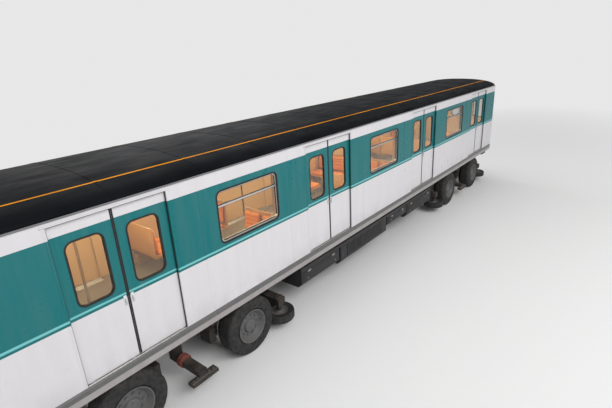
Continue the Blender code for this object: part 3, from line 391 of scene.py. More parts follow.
lids, latches = bmesh.new(), bmesh.new()
for number, bottom in enumerate(case_bottoms):
    left, right, low = case_edges[number] + lid_margin, case_edges[number + 1] - lid_margin, bottom + lid_rise
    if number == louvred_case:
        for row in range(louvre_count):
            level = low + row * (lid_top - low) / louvre_count
            block(lids, (left + louvre_inset, -0.001, 0), (right - louvre_inset, 0.0095, 0.014), 0.004, 2,
                  (0, case_face, level))
        continue
    block(lids, (left + panel_margin, lid_face - 0.001, low + panel_margin),
          (right - panel_margin, lid_face + 0.004, lid_top - panel_margin), 0.0045, 2)
    for spot in (left + latch_inset, right - latch_inset):
        latch = (spot, lid_face, low + latch_lift)
        rod(latches, (0, -0.001, 0), (0, latch_reach, 0), latch_radius, 20, 0.002, latch)
        block(latches, (-0.003, 0.006, -0.01), (0.003, 0.013, 0.01), 0.0015, at=latch)
    for spot in (left + hinge_inset, right - hinge_inset):
        hinge = (spot, lid_face, lid_top)
        rod(latches, (-hinge_half, 0, 0.003), (hinge_half, 0, 0.003), hinge_radius, 16, 0.002, hinge)
        block(latches, (-0.04, -0.002, -0.03), (0.04, 0.0025, 0), 0.001, at=hinge)
for side, way in sides:
    dress("equipment_" + side, case_black)
    set_down("case_lids_" + side, lids, case_black, "root", mirrored(way))
    set_down("case_latches_" + side, latches, latch_steel, "root", mirrored(way))

# Each bogie has a welded frame inside its wheels, with an axle box hung at each corner and beams for the
# guide wheels. Two motors in ribbed cast casings drive the axles through gear cases bolted at their rims.
bogie_reach, axle_reach = 5.0, 1.0
axle_height = (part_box("axle_front_in")[0].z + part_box("axle_front_in")[1].z) / 2
beam_side, beam_bolt_height, beam_bolt_pitch = 0.57, 0.62, 0.1
guide_reach, guide_offset, guide_beam_top = 1.76, 0.975, 0.5497
motor_radius, motor_start, motor_end, motor_height, motor_ribs, rib_rise = 0.19, 0.255, 0.8, 0.4947, 9, 0.012
gear_radius, gear_half, gear_bore, gear_bolt_circle = 0.24, 0.18, 0.0775, 0.205
bogie_black = dusty_paint("bogie_paint", "frame_paint", (0.02, 0.02, 0.021, 1), (0.17, 0.13, 0.10, 1),
                          0.65, 0.55)


def rounded(profile, radius, steps=3):
    """Softens the inner corners of an open profile."""
    points = [Vector(point) for point in profile]
    result = [points[0]]
    for before, corner, after in zip(points, points[1:], points[2:]):
        back, on = before - corner, after - corner
        reach = min(radius, back.length / 2.2, on.length / 2.2)
        start, end = corner + back.normalized() * reach, corner + on.normalized() * reach
        for step in range(steps + 1):
            part = step / steps
            first, second = start * (1 - part) + corner * part, corner * (1 - part) + end * part
            result.append(first * (1 - part) + second * part)
    return [tuple(point) for point in result + [points[-1]]]


def around(centre, axis, radius, number):
    """Places spread evenly on a circle about an axis."""
    turn = Vector((0, 0, 1)).rotation_difference(Vector(axis))
    angles = [math.tau * step / number for step in range(number)]
    return [Vector(centre) + turn @ Vector((radius * math.cos(angle), radius * math.sin(angle), 0))
            for angle in angles]


def bogie_place(way):
    """The place under the car of a piece that is made round a bogie's own middle."""
    return Matrix.Translation((way * bogie_reach, 0, 0)) @ half_turn(way)


covers, drives = bmesh.new(), bmesh.new()
hub = Vector((axle_reach, beam_side, axle_height))
turned(covers, rounded([(0.08, -0.002), (0.132, -0.002), (0.132, 0.024), (0.12, 0.03), (0.095, 0.03),
                        (0.088, 0.022), (0.08, 0.02), (0.08, -0.002)], 0.003, 2), hub, (0, 1, 0), 48)
bolts(covers, around(hub + Vector((0, 0.028, 0)), (0, 1, 0), 0.111, 8), (0, 1, 0), 0.008, 0.01)
block(covers, (-0.12, -0.002, -0.118), (0.12, 0.012, -0.1), 0.003, at=hub)
bolts(covers, [hub + Vector((step, 0, -0.068)) for step in (-0.125, 0.125)], (0, 1, 0), 0.013, 0.012)
cap = Vector((guide_reach, guide_offset, guide_beam_top))
turned(covers, [(0.0, -0.004), (0.07, -0.004), (0.07, 0.01), (0.062, 0.018), (0.0, 0.022)], cap,
       (0, 0, 1), 36)
bolts(covers, around(cap, (0, 0, 1), 0.078, 4), (0, 0, 1), 0.008, 0.01)
mirror_over("X", covers)
bolts(covers, [(step * beam_bolt_pitch, beam_side, beam_bolt_height) for step in (-5, -4, -3, 3, 4, 5)],
      (0, 1, 0), 0.012, 0.011)
mirror_over("Y", covers)
rib_pitch, motor_skin = (motor_end - motor_start) / motor_ribs, motor_radius + casing_skin
ribs = [(0.0, motor_start), (motor_skin, motor_start)]
for rib in range(motor_ribs):
    start = motor_start + (rib + 0.4) * rib_pitch
    ribs += [(motor_skin, start), (motor_skin + rib_rise, start + 0.004),
             (motor_skin + rib_rise, start + 0.012), (motor_skin, start + 0.016)]
turned(drives, ribs + [(motor_skin, motor_end), (0.0, motor_end)], (0, 0, motor_height), (1, 0, 0), 56)
block(drives, (0.42, 0.11, 0.09), (0.6, 0.225, 0.17), 0.012, 2, (0, 0, motor_height))
gear, gear_skin, wall = Vector((axle_reach, 0, axle_height)), gear_radius + casing_skin, gear_half + 0.002
gear_section = both_ways([(gear_bore, gear_half + 0.012), (0.1, gear_half + 0.012), (0.12, wall),
                          (gear_bolt_circle - 0.02, wall), (gear_skin - 0.004, wall),
                          (gear_skin, gear_half - 0.002)])
turned(drives, rounded(gear_section, 0.004, 2) + [gear_section[0]], gear, (0, 1, 0), 64)
band(drives, gear_skin - 0.004, gear_skin + 0.008, -0.014, 0.014, gear, (0, 1, 0), 64)
for hand in (1, -1):
    bolts(drives, around(gear + Vector((0, hand * (gear_half + 0.001), 0)), (0, 1, 0), gear_bolt_circle, 12),
          (0, hand, 0), 0.009, 0.01)
rod(drives, (0.1, 0.06, -gear_radius - 0.018), (0.1, 0.06, -gear_radius + 0.06), 0.014, 6, at=gear)
mirror_over("X", drives)
for end, way in ends:
    dress("bogie_frame_" + end, bogie_black)
    set_down("bogie_covers_" + end, covers, bogie_black, "bogie_" + end, bogie_place(way))
    set_down("motors_" + end, drives, bogie_black, "bogie_" + end, bogie_place(way))

# Two rubber bellows filled with air carry the body on each bogie. Each has three folds, and is held to the
# beam below and the bolster above by a steel ring, bolted down all round.
spring_bottom, spring_top, spring_offset, spring_radius = 0.6997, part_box("bogie_frame_front")[1].z, 0.5, 0.134
seal_black = (0.018, 0.018, 0.019, 1)
bellows_rubber = dusty_paint("bellows_rubber", "rubber_seal", seal_black, tunnel_dust, 0.25, 0.75)
bellows, rings = bmesh.new(), bmesh.new()
span = spring_top - spring_bottom
folds = [(0.0, span - 0.0005), (spring_radius - 0.016, span - 0.0005)]
for fold in range(3):
    top = span * (0.86 - fold * 0.24)
    folds += [(spring_radius - 0.016, top), (spring_radius + 0.006, top - 0.012),
              (spring_radius + 0.006, top - 0.026)]
folds += [(spring_radius - 0.016, span * 0.14), (spring_radius - 0.016, 0.0), (0.0, 0.0)]
seat = Vector((0, spring_offset, spring_bottom))
turned(bellows, rounded(folds, 0.009), seat, (0, 0, 1), 48)
for level in (0.0, span - 0.02):
    band(rings, 0.1, spring_radius + 0.012, level, level + 0.02, seat, (0, 0, 1), 48, 0.003)
bolts(rings, around(seat + Vector((0, 0, 0.018)), (0, 0, 1), spring_radius + 0.002, 8), (0, 0, 1),
      0.006, 0.008)
mirror_over("Y", bellows, rings)
for end, way in ends:
    set_down("spring_bellows_" + end, bellows, bellows_rubber, "bogie_" + end, bogie_place(way), sharp=60)
    set_down("spring_rings_" + end, rings, latch_steel, "bogie_" + end, bogie_place(way))

# The collector shoes are cast iron on insulated arms, and press outwards on the bar beside the track. Each is
# bolted to its arm past a stack of glazed red-brown insulators, which keep the current from the frame.
shoe_top, shoe_edge, shoe_half = 0.265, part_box("bogie_frame_front")[1].y, 0.215
insulator_start, insulator_pitch, insulator_height, insulator_count = 0.66, 0.024, 0.305, 4
shoe_iron = worn_steel("shoe_iron", "wheel_steel", (0.30, 0.28, 0.26, 1), 0.35, 0.3)
insulator_red = dusty_paint("insulator_red", "rubber_seal", (0.19, 0.045, 0.028, 1), tunnel_dust, 0.35, 0.4)
shoes, insulators = bmesh.new(), bmesh.new()
block(shoes, (-shoe_half, -0.112, -0.002), (shoe_half, -0.012, 0.012), 0.005, 2, (0, shoe_edge, shoe_top))
bolts(shoes, [(step, shoe_edge - 0.06, shoe_top + 0.012) for step in (-0.17, -0.1, 0.1, 0.17)],
      (0, 0, 1), 0.011, 0.012)
disc = rounded([(0.0, 0.0), (0.1, 0.0), (0.1, 0.012), (0.085, 0.018), (0.085, 0.0245), (0.0, 0.0245)], 0.004)
for row in range(insulator_count):
    turned(insulators, disc, (0, insulator_start + row * insulator_pitch, insulator_height), (0, 1, 0), 40)
mirror_over("Y", shoes, insulators)
for end, way in ends:
    set_down("collector_shoes_" + end, shoes, shoe_iron, "bogie_" + end, bogie_place(way))
    set_down("shoe_insulators_" + end, insulators, insulator_red, "bogie_" + end, bogie_place(way))

# The axles are forged steel. On each, two steel safety wheels with bright treads stand inside dished rims,
# which are bolted through their discs and painted grey, and hold the pneumatic tyres.
axle_radius, wheel_back, rim_front = 0.075, 0.6805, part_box("axle_front_in")[1].y
wheel_section = [(0.0735, 0.0), (0.118, 0.0), (0.13, 0.02), (0.36, 0.034), (0.38, 0.0), (0.462, 0.0),
                 (0.465, 0.006), (0.465, 0.026), (0.448, 0.036), (0.434, 0.046), (0.434, 0.128),
                 (0.43, 0.135), (0.385, 0.135), (0.378, 0.07), (0.14, 0.06), (0.118, 0.075), (0.1, 0.165),
                 (0.0735, 0.165), (0.0735, 0.0)]
rim_section = [(0.0, -0.29), (0.272, -0.29), (0.272, -0.275), (0.262, -0.26), (0.262, -0.03), (0.272, -0.015),
               (0.272, 0.0), (0.258, 0.0), (0.245, -0.02), (0.205, -0.088), (0.12, -0.088), (0.11, -0.075),
               (0.1, -0.048), (0.085, -0.042), (0.0, -0.04)]
wheel_iron = worn_steel("wheel_iron", "wheel_steel", (0.20, 0.185, 0.17, 1), 0.5, 0.45)
tread_steel = worn_steel("tread_steel", "wheel_steel", (0.55, 0.54, 0.52, 1), 0.25, 0.08)
rim_grey = dusty_paint("rim_paint", "wheel_steel", (0.11, 0.112, 0.115, 1), (0.14, 0.11, 0.085, 1),
                       0.55, 0.45)
shaft, treads, rims = bmesh.new(), bmesh.new(), bmesh.new()
out = Vector((0, 1, 0))
turned(shaft, rounded(wheel_section, 0.006), out * wheel_back, out, 64)
bolts(shaft, around(out * (wheel_back + 0.0615), out, 0.24, 9), out, 0.014, 0.014)
band(treads, 0.43, 0.4352, 0.05, 0.13, out * wheel_back, out, 64)
turned(rims, rounded(rim_section, 0.006, 2), out * rim_front, out, 64)
bolts(rims, around(out * (rim_front - 0.088), out, 0.16, 10), out, 0.013, 0.02)
bolts(rims, around(out * (rim_front - 0.0415), out, 0.06, 4), out, 0.007, 0.008)
rod(rims, (0.215, rim_front - 0.08, 0), (0.215, rim_front - 0.025, 0), 0.005, 12, 0.001)
mirror_over("Y", shaft, treads, rims)
rod(shaft, -out * (wheel_back + 0.01), out * (wheel_back + 0.01), axle_radius, 48)


def place_of(name):
    """The middle of a solid's box, for a piece that is made round its own middle."""
    low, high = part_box(name)
    return Matrix.Translation((low + high) / 2)


axles = ["axle_%s_%s" % (end, mark) for end, way in ends for mark in ("in", "out")]
for name in axles:
    set_down("iron_" + name, shaft, wheel_iron, name, place_of(name), name)
    set_down("treads_" + name, treads, tread_steel, name, place_of(name))
    set_down("rims_" + name, rims, rim_grey, name, place_of(name))

# The pneumatic tyres carry the car on smooth roll ways beside the rails. They are black rubber with a flat
# tread, three grooves round it and a ribbed wall, and are dusted grey where they run.
tyre_radius, tread_half = axle_height, 0.112
groove_places, groove_depth, groove_half, groove_flare = (-0.055, 0.0, 0.055), 0.012, 0.005, 0.001
groove_shape = ((0.0, -groove_half - groove_flare), (groove_depth, -groove_half), (groove_depth, groove_half),
                (0.0, groove_half + groove_flare))
shoulder = [(0.272, 0.118), (0.29, 0.138), (0.33, 0.1445), (0.37, 0.1445), (0.374, 0.145), (0.38, 0.145),
            (0.384, 0.1435), (0.41, 0.141), (0.44, 0.133), (0.462, 0.121), (tyre_radius - 0.002, tread_half)]
rubber_black, road_dust = (0.017, 0.017, 0.018, 1), (0.085, 0.075, 0.066, 1)
rubber_tyre, tree = new_finish("tyre_rubber", "tyre_rubber", Specular_IOR_Level=0.3)
coat(rubber_tyre, film(tree, rubber_black, road_dust, 14, 0.45, low=0.4, high=0.75),
     patches(tree, 30, 0.65, 0.9), mottle(tree, 260), 0.0004)
tread = [(tyre_radius - depth, groove + reach) for groove in groove_places for depth, reach in groove_shape]
tyre_section = rounded([(across, -along) for across, along in shoulder], 0.01, 2) + tread
tyre_section += rounded(shoulder[::-1], 0.01, 2) + [tyre_section[0]]
tyre = bmesh.new()
turned(tyre, tyre_section, (0, 0, 0), out, 80)
for axle in axles:
    for side, way in sides:
        name = axle.replace("axle", "tyre") + "_" + side
        set_down("pneumatic_" + name, tyre, rubber_tyre, axle, place_of(name), name, 50)

# The guide wheels lie flat at the bogie's corners and run along bars beside the track. Each has a rubber
# tyre on a pressed steel disc, which turns on a pin under the guide beam.
guide_section = rounded([(0.155, -0.06), (0.2, -0.066), (0.25, -0.075), (0.262, -0.05), (0.263, 0.0),
                         (0.262, 0.05), (0.25, 0.075), (0.2, 0.066), (0.155, 0.06)], 0.012)
disc_section = rounded(both_ways([(0.0408, 0.066), (0.062, 0.066), (0.07, 0.04), (0.13, 0.036), (0.145, 0.06),
                                  (0.157, 0.06)]), 0.005, 2)
tyre, disc = bmesh.new(), bmesh.new()
turned(tyre, guide_section + [guide_section[0]], (0, 0, 0), (0, 0, 1), 56)
turned(disc, disc_section + [disc_section[0]], (0, 0, 0), (0, 0, 1), 48)
bolts(disc, around((0, 0, 0.0375), (0, 0, 1), 0.1, 6), (0, 0, 1), 0.009, 0.012)
for name in [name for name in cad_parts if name.startswith("guide_wheel")]:
    set_down("rubber_" + name, tyre, rubber_tyre, name, place_of(name), name, 50)
    set_down("disc_" + name, disc, rim_grey, name, place_of(name))

# The floor is plywood on steel, covered in grey sheet flooring with a fine fleck that hides wear. Ribbed
# aluminium plates are screwed down at each doorway, beside the groove that the leaves run in.
floor_level, door_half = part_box("floor")[1].z, 0.65
door_centres = [(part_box("door_leaf_left_%da" % number)[1].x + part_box("door_leaf_left_%db" % number)[0].x) / 2
                for number in (1, 2, 3, 4)]
plate_spans = ((0.985, 1.0885), (1.0915, 1.1235), (1.1715, 1.1985))
plate_thickness, plate_rib_pitch, plate_rib_half, plate_rib_rise = 0.003, 0.012, 0.0022, 0.002
flooring_grey, fleck_grey, scuff_grey = (0.17, 0.155, 0.14, 1), (0.40, 0.36, 0.31, 1), (0.12, 0.11, 0.10, 1)
flooring, tree = new_finish("fleck_flooring", "floor_cover", Roughness=0.5, Specular_IOR_Level=0.45)
cells = add_node(tree, "TexVoronoi", {"Vector": position(tree), "Scale": 260.0}).outputs["Color"]
flecks = share(tree, add_node(tree, "RGBToBW", {"Color": cells}).outputs[0], 0.62, 0.7)
flecked = blend(tree, flecks, flooring_grey, fleck_grey)
coat(flooring, film(tree, flecked, scuff_grey, 2.2, 0.35, low=0.35), None, mottle(tree, 300), 0.0003)
dress("floor", flooring)


def brushed(name, slot, colour, stretch, roughness=0.28):
    """Metal with the fine lines of a brush along one direction."""
    finish, tree = new_finish(name, slot, Metallic=1.0)
    lines = mottle(tree, 60, stretch)
    base = shade(tree, colour, share(tree, lines, 0.3, 0.7, 0.85, 1.08))
    return coat(finish, base, share(tree, lines, 0.3, 0.7, roughness - 0.06, roughness + 0.1), lines, 0.00003)


def one_side(side, way, centres):
    """The end of its name and the place of each piece of a kind that stands at these centres along a side."""
    return [("_%s_%d" % (side, number), Matrix.Translation((centre, 0, 0)) @ mirrored(way))
            for number, centre in enumerate(centres, 1)]


def both_sides(centres):
    return [station for side, way in sides for station in one_side(side, way, centres)]


sill_metal = brushed("sill_metal", "trim_metal", (0.50, 0.50, 0.49, 1), (0.1, 4, 4), 0.36)
plates = bmesh.new()
top, plate_reach, rib_reach = floor_level + plate_thickness, door_half - 0.004, door_half - 0.012
for near, far in plate_spans:
    block(plates, (-plate_reach, near, floor_level + 0.0002), (plate_reach, far, top), 0.0012)
    for rib in range(1 + int((far - near - 0.01) / plate_rib_pitch)):
        block(plates, (-rib_reach, -plate_rib_half, -0.0002), (rib_reach, plate_rib_half, plate_rib_rise),
              0.001, at=(0, near + 0.007 + rib * plate_rib_pitch, top))
for tail, place in both_sides(door_centres):
    set_down("sill_plates" + tail, plates, sill_metal, "root", place)

# The sides are welded steel panels with a jade band round the windows on white enamel, and a grey rubbing strip
# at floor level, whose dark grey is partly its own colour and partly painted shade of the recess above the
# skirt.
# Indoors they are faced with tan laminate, and the door pockets lie between.
side_inner_face, skirt_height, roof_line = 1.12, 1.0, 3.1
enamel_white, enamel_jade, jade_painted_highlight = (0.66, 0.645, 0.665, 1), (0.0, 0.145, 0.155, 1), (0.16, 0.50, 0.51, 1)
# The rubbing strip's dark grey is partly its own colour and partly painted shade of the recess above the skirt.
skirt_grey, rubbing_strip_and_shade_grey, streak_grey = (0.36, 0.34, 0.34, 1), (0.115, 0.115, 0.118, 1), (0.30, 0.28, 0.27, 1)
# The pale jade band from 1.992 to 2.012 is a painted highlight, where the sill moulding catches the light.
colour_edges = ((1.079, rubbing_strip_and_shade_grey), (1.166, enamel_white), (1.955, enamel_jade), (1.992, jade_painted_highlight),
                (2.012, enamel_jade), (2.89, enamel_white))
grime_brown = (0.16, 0.14, 0.12, 1)
laminate_tan, laminate_fleck = (0.62, 0.43, 0.24, 1), (0.42, 0.26, 0.12, 1)


def livery(name, axis, inner_face):
    """Enamel in bands by height where a piece faces outdoors, and laminate where it faces the saloon."""
    finish, tree = new_finish(name, "side_paint", Metallic=0.0, Coat_Weight=0.08, Coat_Roughness=0.15,
                              Specular_IOR_Level=0.22)
    parts = add_node(tree, "SeparateXYZ", {"Vector": position(tree)})
    bands = add_node(tree, "ValToRGB", {"Fac": share(tree, parts.outputs["Z"], skirt_height, roof_line)})
    ramp = bands.color_ramp
    ramp.interpolation = "CONSTANT"
    ramp.elements.remove(ramp.elements[1])
    ramp.elements[0].color = skirt_grey
    for edge, colour in colour_edges:
        ramp.elements.new((edge - skirt_height) / (roof_line - skirt_height)).color = colour
    enamel = film(tree, bands.outputs["Color"], streak_grey, 3, 0.10, low=0.35, high=0.75,
                  stretch=(2.5, 2.5, 0.25))
    splash = share(tree, parts.outputs["Z"], 1.0, 1.45, 0.45, 0.0)
    grime = count(tree, "MULTIPLY", splash, patches(tree, 4, low=0.35, high=0.8, stretch=(1, 1, 0.5)))
    laminate = film(tree, laminate_tan, laminate_fleck, 90, 0.2, low=0.4)
    indoors = count(tree, "LESS_THAN", count(tree, "ABSOLUTE", parts.outputs[axis]), inner_face)
    return coat(finish, blend(tree, indoors, blend(tree, grime, enamel, grime_brown), laminate),
                patches(tree, 7, 0.26, 0.40), mottle(tree, 1.2), 0.0006)


side_enamel = livery("side_enamel", "Y", side_inner_face)
for side, way in sides:
    dress("side_" + side, side_enamel)

# Each bay window has panes of tinted glass in black rubber, held by a satin aluminium frame. The upper part
# is a hopper that tips inwards over a bar, held by two catches, and a trim ring hides the edge indoors.
sill_height, head_height, window_corner, bay_half = 2.06, 2.8, 0.09, 0.58
bay_centres = [(left + right) / 2 for left, right in zip(door_centres, door_centres[1:])]
hopper_height, hopper_bar_half, hopper_bar_span = 2.585, 0.0125, (1.1492, 1.1868)
gasket_span, gasket_rim, gasket_lap = (1.188, 1.2035), 0.026, 0.010
pane_span, bead_span, bead_rim, pane_corner = (1.166, 1.172), (1.161, 1.1772), 0.014, 0.012
frame_span, frame_rim, trim_span, trim_rim, trim_lap = (1.146, 1.187), 0.030, (1.079, 1.0895), 0.042, 0.030


def flat_outline(low, high, corner, steps):
    """A flat box with rounded corners, as a shape of its own."""
    part, size = box_between(low, high)
    thin = min(range(3), key=lambda way: size[way])
    posts = [line for line in part.edges if abs((line.verts[0].co - line.verts[1].co)[thin]) > size[thin] / 2]
    soften(part, posts, corner, steps)
    return part


def ring(shape, low, high, rim, corner, edge=0.0, steps=6):
    """A flat frame with rounded corners, open in its middle."""
    part = flat_outline(low, high, corner, steps)
    faces = [face for face in part.faces if len(face.verts) > 4]
    bmesh.ops.inset_individual(part, faces=faces, thickness=rim, use_even_offset=True)
    faces = [face for face in part.faces if len(face.verts) > 4]
    bounds = [line for face in faces for line in face.edges]
    bmesh.ops.delete(part, geom=faces, context="FACES_ONLY")
    bmesh.ops.bridge_loops(part, edges=bounds)
    if edge:
        sharp = [line for line in part.edges if len(line.link_faces) == 2 and line.calc_face_angle() > 1.2]
        soften(part, sharp, edge)
    merge_into(shape, part)


def pane(shape, low, high, corner, steps=6):
    """A sheet of glass with rounded corners."""
    merge_into(shape, flat_outline(low, high, corner, steps))


def framed(shape, half, low, high, span, rim, lap, corner, edge=0.003, steps=6):
    """A frame in a side, as wide as half to each side of its middle and lapping out past the opening."""
    ring(shape, (-half - lap, span[0], low - lap), (half + lap, span[1], high + lap), rim,
         corner + lap, edge, steps)


window_glass, tree = new_finish("window_glass", "window_glass", Base_Color=(0.92, 0.95, 0.92, 1),
                                Transmission_Weight=1.0, IOR=1.45)
coat(window_glass, None, patches(tree, 6, 0.015, 0.06, low=0.4, high=0.8))
seal_rubber, tree = new_finish("seal_rubber", "rubber_seal", Specular_IOR_Level=0.3)
coat(seal_rubber, shade(tree, seal_black, patches(tree, 8, 0.8, 1.3)), patches(tree, 50, 0.5, 0.75))
frame_metal = brushed("window_frame_metal", "trim_metal", (0.62, 0.62, 0.61, 1), (0.2, 3, 3), 0.3)
panes, gaskets, frames, catches = bmesh.new(), bmesh.new(), bmesh.new(), bmesh.new()
framed(gaskets, bay_half, sill_height, head_height, gasket_span, gasket_rim, gasket_lap, window_corner)
framed(frames, bay_half, sill_height, head_height, frame_span, frame_rim, -0.0008, window_corner)
framed(frames, bay_half, sill_height, head_height, trim_span, trim_rim, trim_lap, window_corner)
bar_reach, glass_half = bay_half - frame_rim + 0.0005, bay_half - frame_rim + 0.004
block(frames, (-bar_reach, hopper_bar_span[0], hopper_height - hopper_bar_half),
      (bar_reach, hopper_bar_span[1], hopper_height + hopper_bar_half), 0.003, 2)
for low, high in ((sill_height + 0.026, hopper_height - 0.008), (hopper_height + 0.008, head_height - 0.026)):
    pane(panes, (-glass_half, pane_span[0], low), (glass_half, pane_span[1], high), pane_corner)
    framed(gaskets, glass_half, low, high, bead_span, bead_rim, 0.002, 0.03, 0.002, 4)
for spot in (-bay_half + 0.22, bay_half - 0.22):
    block(catches, (-0.03, 1.128, -0.012), (0.03, 1.1505, 0.02), 0.004, 2, (spot, 0, hopper_height))
    rod(catches, (0, 1.112, 0.004), (0, 1.13, 0.004), 0.009, 16, 0.002, (spot, 0, hopper_height))
for tail, place in both_sides(bay_centres):
    set_down("bay_panes" + tail, panes, window_glass, "root", place)
    set_down("bay_gaskets" + tail, gaskets, seal_rubber, "root", place)
    set_down("bay_frames" + tail, frames, frame_metal, "root", place)
    set_down("hopper_catches" + tail, catches, latch_steel, "root", place)

# Cover strips hide the welds where one side panel meets the next. A drip rail over each doorway throws off
# water, and rubber seals down both jambs wipe the leaves. The strips are enamelled with the side.
head_level, eaves_level, door_edge_low = 3.02, 3.066, floor_level + 0.006
sill_line, sill_rail_half = 2.0, 0.016
seal_span, strip_span, joint_offset, joint_half = (1.1725, 1.186), (1.1985, 1.2028), 0.85, 0.009
strips, seals, joints = bmesh.new(), bmesh.new(), bmesh.new()
block(seals, (door_half - 0.0005, seal_span[0], door_edge_low),
      (door_half - 0.008, seal_span[1], head_level - 0.001), 0.002)
block(strips, (door_half + 0.004, strip_span[0], door_edge_low),
      (door_half + 0.026, strip_span[1], head_level), 0.0015)
mirror_over("X", seals, strips)
block(strips, (-door_half - 0.05, strip_span[0], head_level + 0.005),
      (door_half + 0.05, 1.2115, head_level + 0.019), 0.003, 2)
block(seals, (-door_half + 0.009, seal_span[0], head_level - 0.009),
      (door_half - 0.009, seal_span[1], head_level - 0.0005), 0.002)
for low, high in ((floor_level + 0.002, sill_line - sill_rail_half),
                  (sill_line + sill_rail_half, eaves_level)):
    block(joints, (joint_offset - joint_half, strip_span[0], low), (joint_offset + joint_half, 1.2018, high),
          0.001)
mirror_over("X", joints)
for side, way in sides:
    for tail, place in one_side(side, way, door_centres):
        set_down("cover_strips" + tail, strips, side_enamel, "root", place)
        set_down("jamb_seals" + tail, seals, seal_rubber, "root", place)
    for tail, place in one_side(side, way, bay_centres):
        set_down("panel_joints" + tail, joints, side_enamel, "root", place)

# The door leaves are pressed from aluminium sheet and enamelled like the side. Each has a pane in a rubber
# gasket, a rubber nosing where the pair meets, and a chromed latch on both faces that is lifted to open it.
leaf_low, leaf_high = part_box("door_leaf_left_1b")
leaf_plane, leaf_half = (leaf_low.y + leaf_high.y) / 2, (leaf_high.y - leaf_low.y) / 2
leaf_bottom, leaf_window_half, glass_half_thickness, glass_inset = leaf_low.z + 0.021, 0.2, 0.003, 0.008
gasket_back, gasket_width, gasket_rise = 0.0022, 0.022, 0.0018
chrome_bright, chrome_rubbed = (0.74, 0.74, 0.74, 1), (0.45, 0.43, 0.40, 1)
latch_middle, latch_half, latch_span, latch_pivot = 0.044, 0.018, (1.86, 1.985), 1.945
latch_rise, pivot_radius, pivot_rise, lever_half, lever_span = 0.003, 0.011, 0.018, 0.006, (0.012, 0.022)
leaf_enamel = livery("leaf_enamel", "Y", leaf_plane)
handle_chrome, tree = new_finish("handle_chrome", "pole_steel", Metallic=1.0)
coat(handle_chrome, film(tree, chrome_bright, chrome_rubbed, 30, 0.3, low=0.4, high=0.8),
     patches(tree, 60, 0.08, 0.2))
glass, rubber, metal = bmesh.new(), bmesh.new(), bmesh.new()
middle, reach = door_half / 2, leaf_window_half - glass_inset
pane(glass, (middle - reach, leaf_plane - glass_half_thickness, sill_height + glass_inset),
     (middle + reach, leaf_plane + glass_half_thickness, head_height - glass_inset),
     window_corner - glass_inset)
reach = leaf_window_half + glass_inset
for face in (1, -1):
    skin = leaf_plane + face * leaf_half
    ring(rubber, (middle - reach, leaf_plane + face * gasket_back, sill_height - glass_inset),
         (middle + reach, skin + face * gasket_rise, head_height + glass_inset), gasket_width,
         window_corner + glass_inset, 0.0012)
    latch = Vector((latch_middle, skin, 0))
    block(metal, (-latch_half, -face * 0.0004, latch_span[0]), (latch_half, face * latch_rise, latch_span[1]),
          0.0014, 2, latch)
    rod(metal, (0, face * 0.002, 0), (0, face * pivot_rise, 0), pivot_radius, 24, 0.002,
        latch + Vector((0, 0, latch_pivot)))
    block(metal, (-lever_half, face * lever_span[0], latch_span[0] + 0.012),
          (lever_half, face * lever_span[1], latch_pivot + 0.01), 0.004, 3, latch)
nosing_half = leaf_half + gasket_rise
block(rubber, (0.0006, leaf_plane - nosing_half, leaf_bottom + 0.003),
      (0.019, leaf_plane + nosing_half, leaf_high.z - 0.003), 0.0015)
for tail, place in both_sides(door_centres):
    for half, turn in (("a", -1), ("b", 1)):
        body, leaf_place = "door_leaf" + tail + half, place @ Matrix.Diagonal((turn, 1, 1, 1))
        dress(body, leaf_enamel)
        set_down("leaf_pane" + tail + half, glass, window_glass, body, leaf_place)
        set_down("leaf_rubber" + tail + half, rubber, seal_rubber, body, leaf_place)
        set_down("leaf_latch" + tail + half, metal, handle_chrome, body, leaf_place)

# Each end wall is a steel bulkhead with two fixed windows. Outside it has a footplate, a grab rail at each
# side of the door, and sockets for the cables to the next car, with sprung lids.
end_face, end_plane, end_window_middle, end_window_half, bead_depth = 7.3, 7.27, 0.76, 0.21, 0.024
rail_offset, rail_reach, rail_low, rail_high, rail_radius = 0.42, 0.05, 1.42, 2.42, 0.014
box_middle, box_level, box_half, lid_radius, screw_offset = 0.79, 1.31, 0.07, 0.05, 0.058
foot_radius, foot_inset, rose_radius, rose_height = 0.011, 0.04, 0.028, 0.006
box_reach, lid_low, lid_reach = 0.05, 0.045, 0.075
footplate_top, footplate_half, footplate_ribs, footplate_pitch = floor_level - 0.01, 0.296, 6, 0.0115
end_enamel = livery("end_enamel", "X", end_face - 0.0595)
rail_steel = brushed("rail_steel", "pole_steel", (0.60, 0.60, 0.59, 1), (3, 3, 0.2), 0.24)
glass, rubber, metal, cable_boxes = bmesh.new(), bmesh.new(), bmesh.new(), bmesh.new()
near, far = end_window_middle - end_window_half, end_window_middle + end_window_half
for back in (end_face - 0.02, end_face - 0.064):
    ring(rubber, (back, near - 0.01, sill_height - 0.01), (back + bead_depth, far + 0.01, head_height + 0.01),
         0.026, window_corner + 0.01, 0.003)
pane(glass, (end_plane - glass_half_thickness, near + 0.005, sill_height + 0.005),
     (end_plane + glass_half_thickness, far - 0.005, head_height - 0.005), window_corner - 0.005)
rod(metal, (rail_reach, 0, rail_low), (rail_reach, 0, rail_high), rail_radius, 24, 0.004,
    (end_face, rail_offset, 0))
for level in (rail_low + foot_inset, rail_high - foot_inset):
    foot = (end_face, rail_offset, level)
    rod(metal, (0, 0, 0), (rail_reach, 0, 0), foot_radius, at=foot)
    rod(metal, (-0.001, 0, 0), (rose_height, 0, 0), rose_radius, 24, 0.002, foot)
box = Vector((end_face, box_middle, box_level))
block(cable_boxes, (-0.001, -box_half, -box_half), (box_reach, box_half, box_half), 0.008, 2, box)
rod(cable_boxes, (lid_low, 0, 0), (lid_reach, 0, 0), lid_radius, 32, 0.005, box)
block(cable_boxes, (0.07, -0.01, -0.06), (0.0795, 0.01, 0.06), 0.003, at=box)
bolts(cable_boxes, [box + Vector((0.0495, across * screw_offset, up * screw_offset)) for across in (-1, 1)
                    for up in (-1, 1)], (1, 0, 0), 0.006, 0.006)
mirror_over("Y", glass, rubber, metal, cable_boxes)
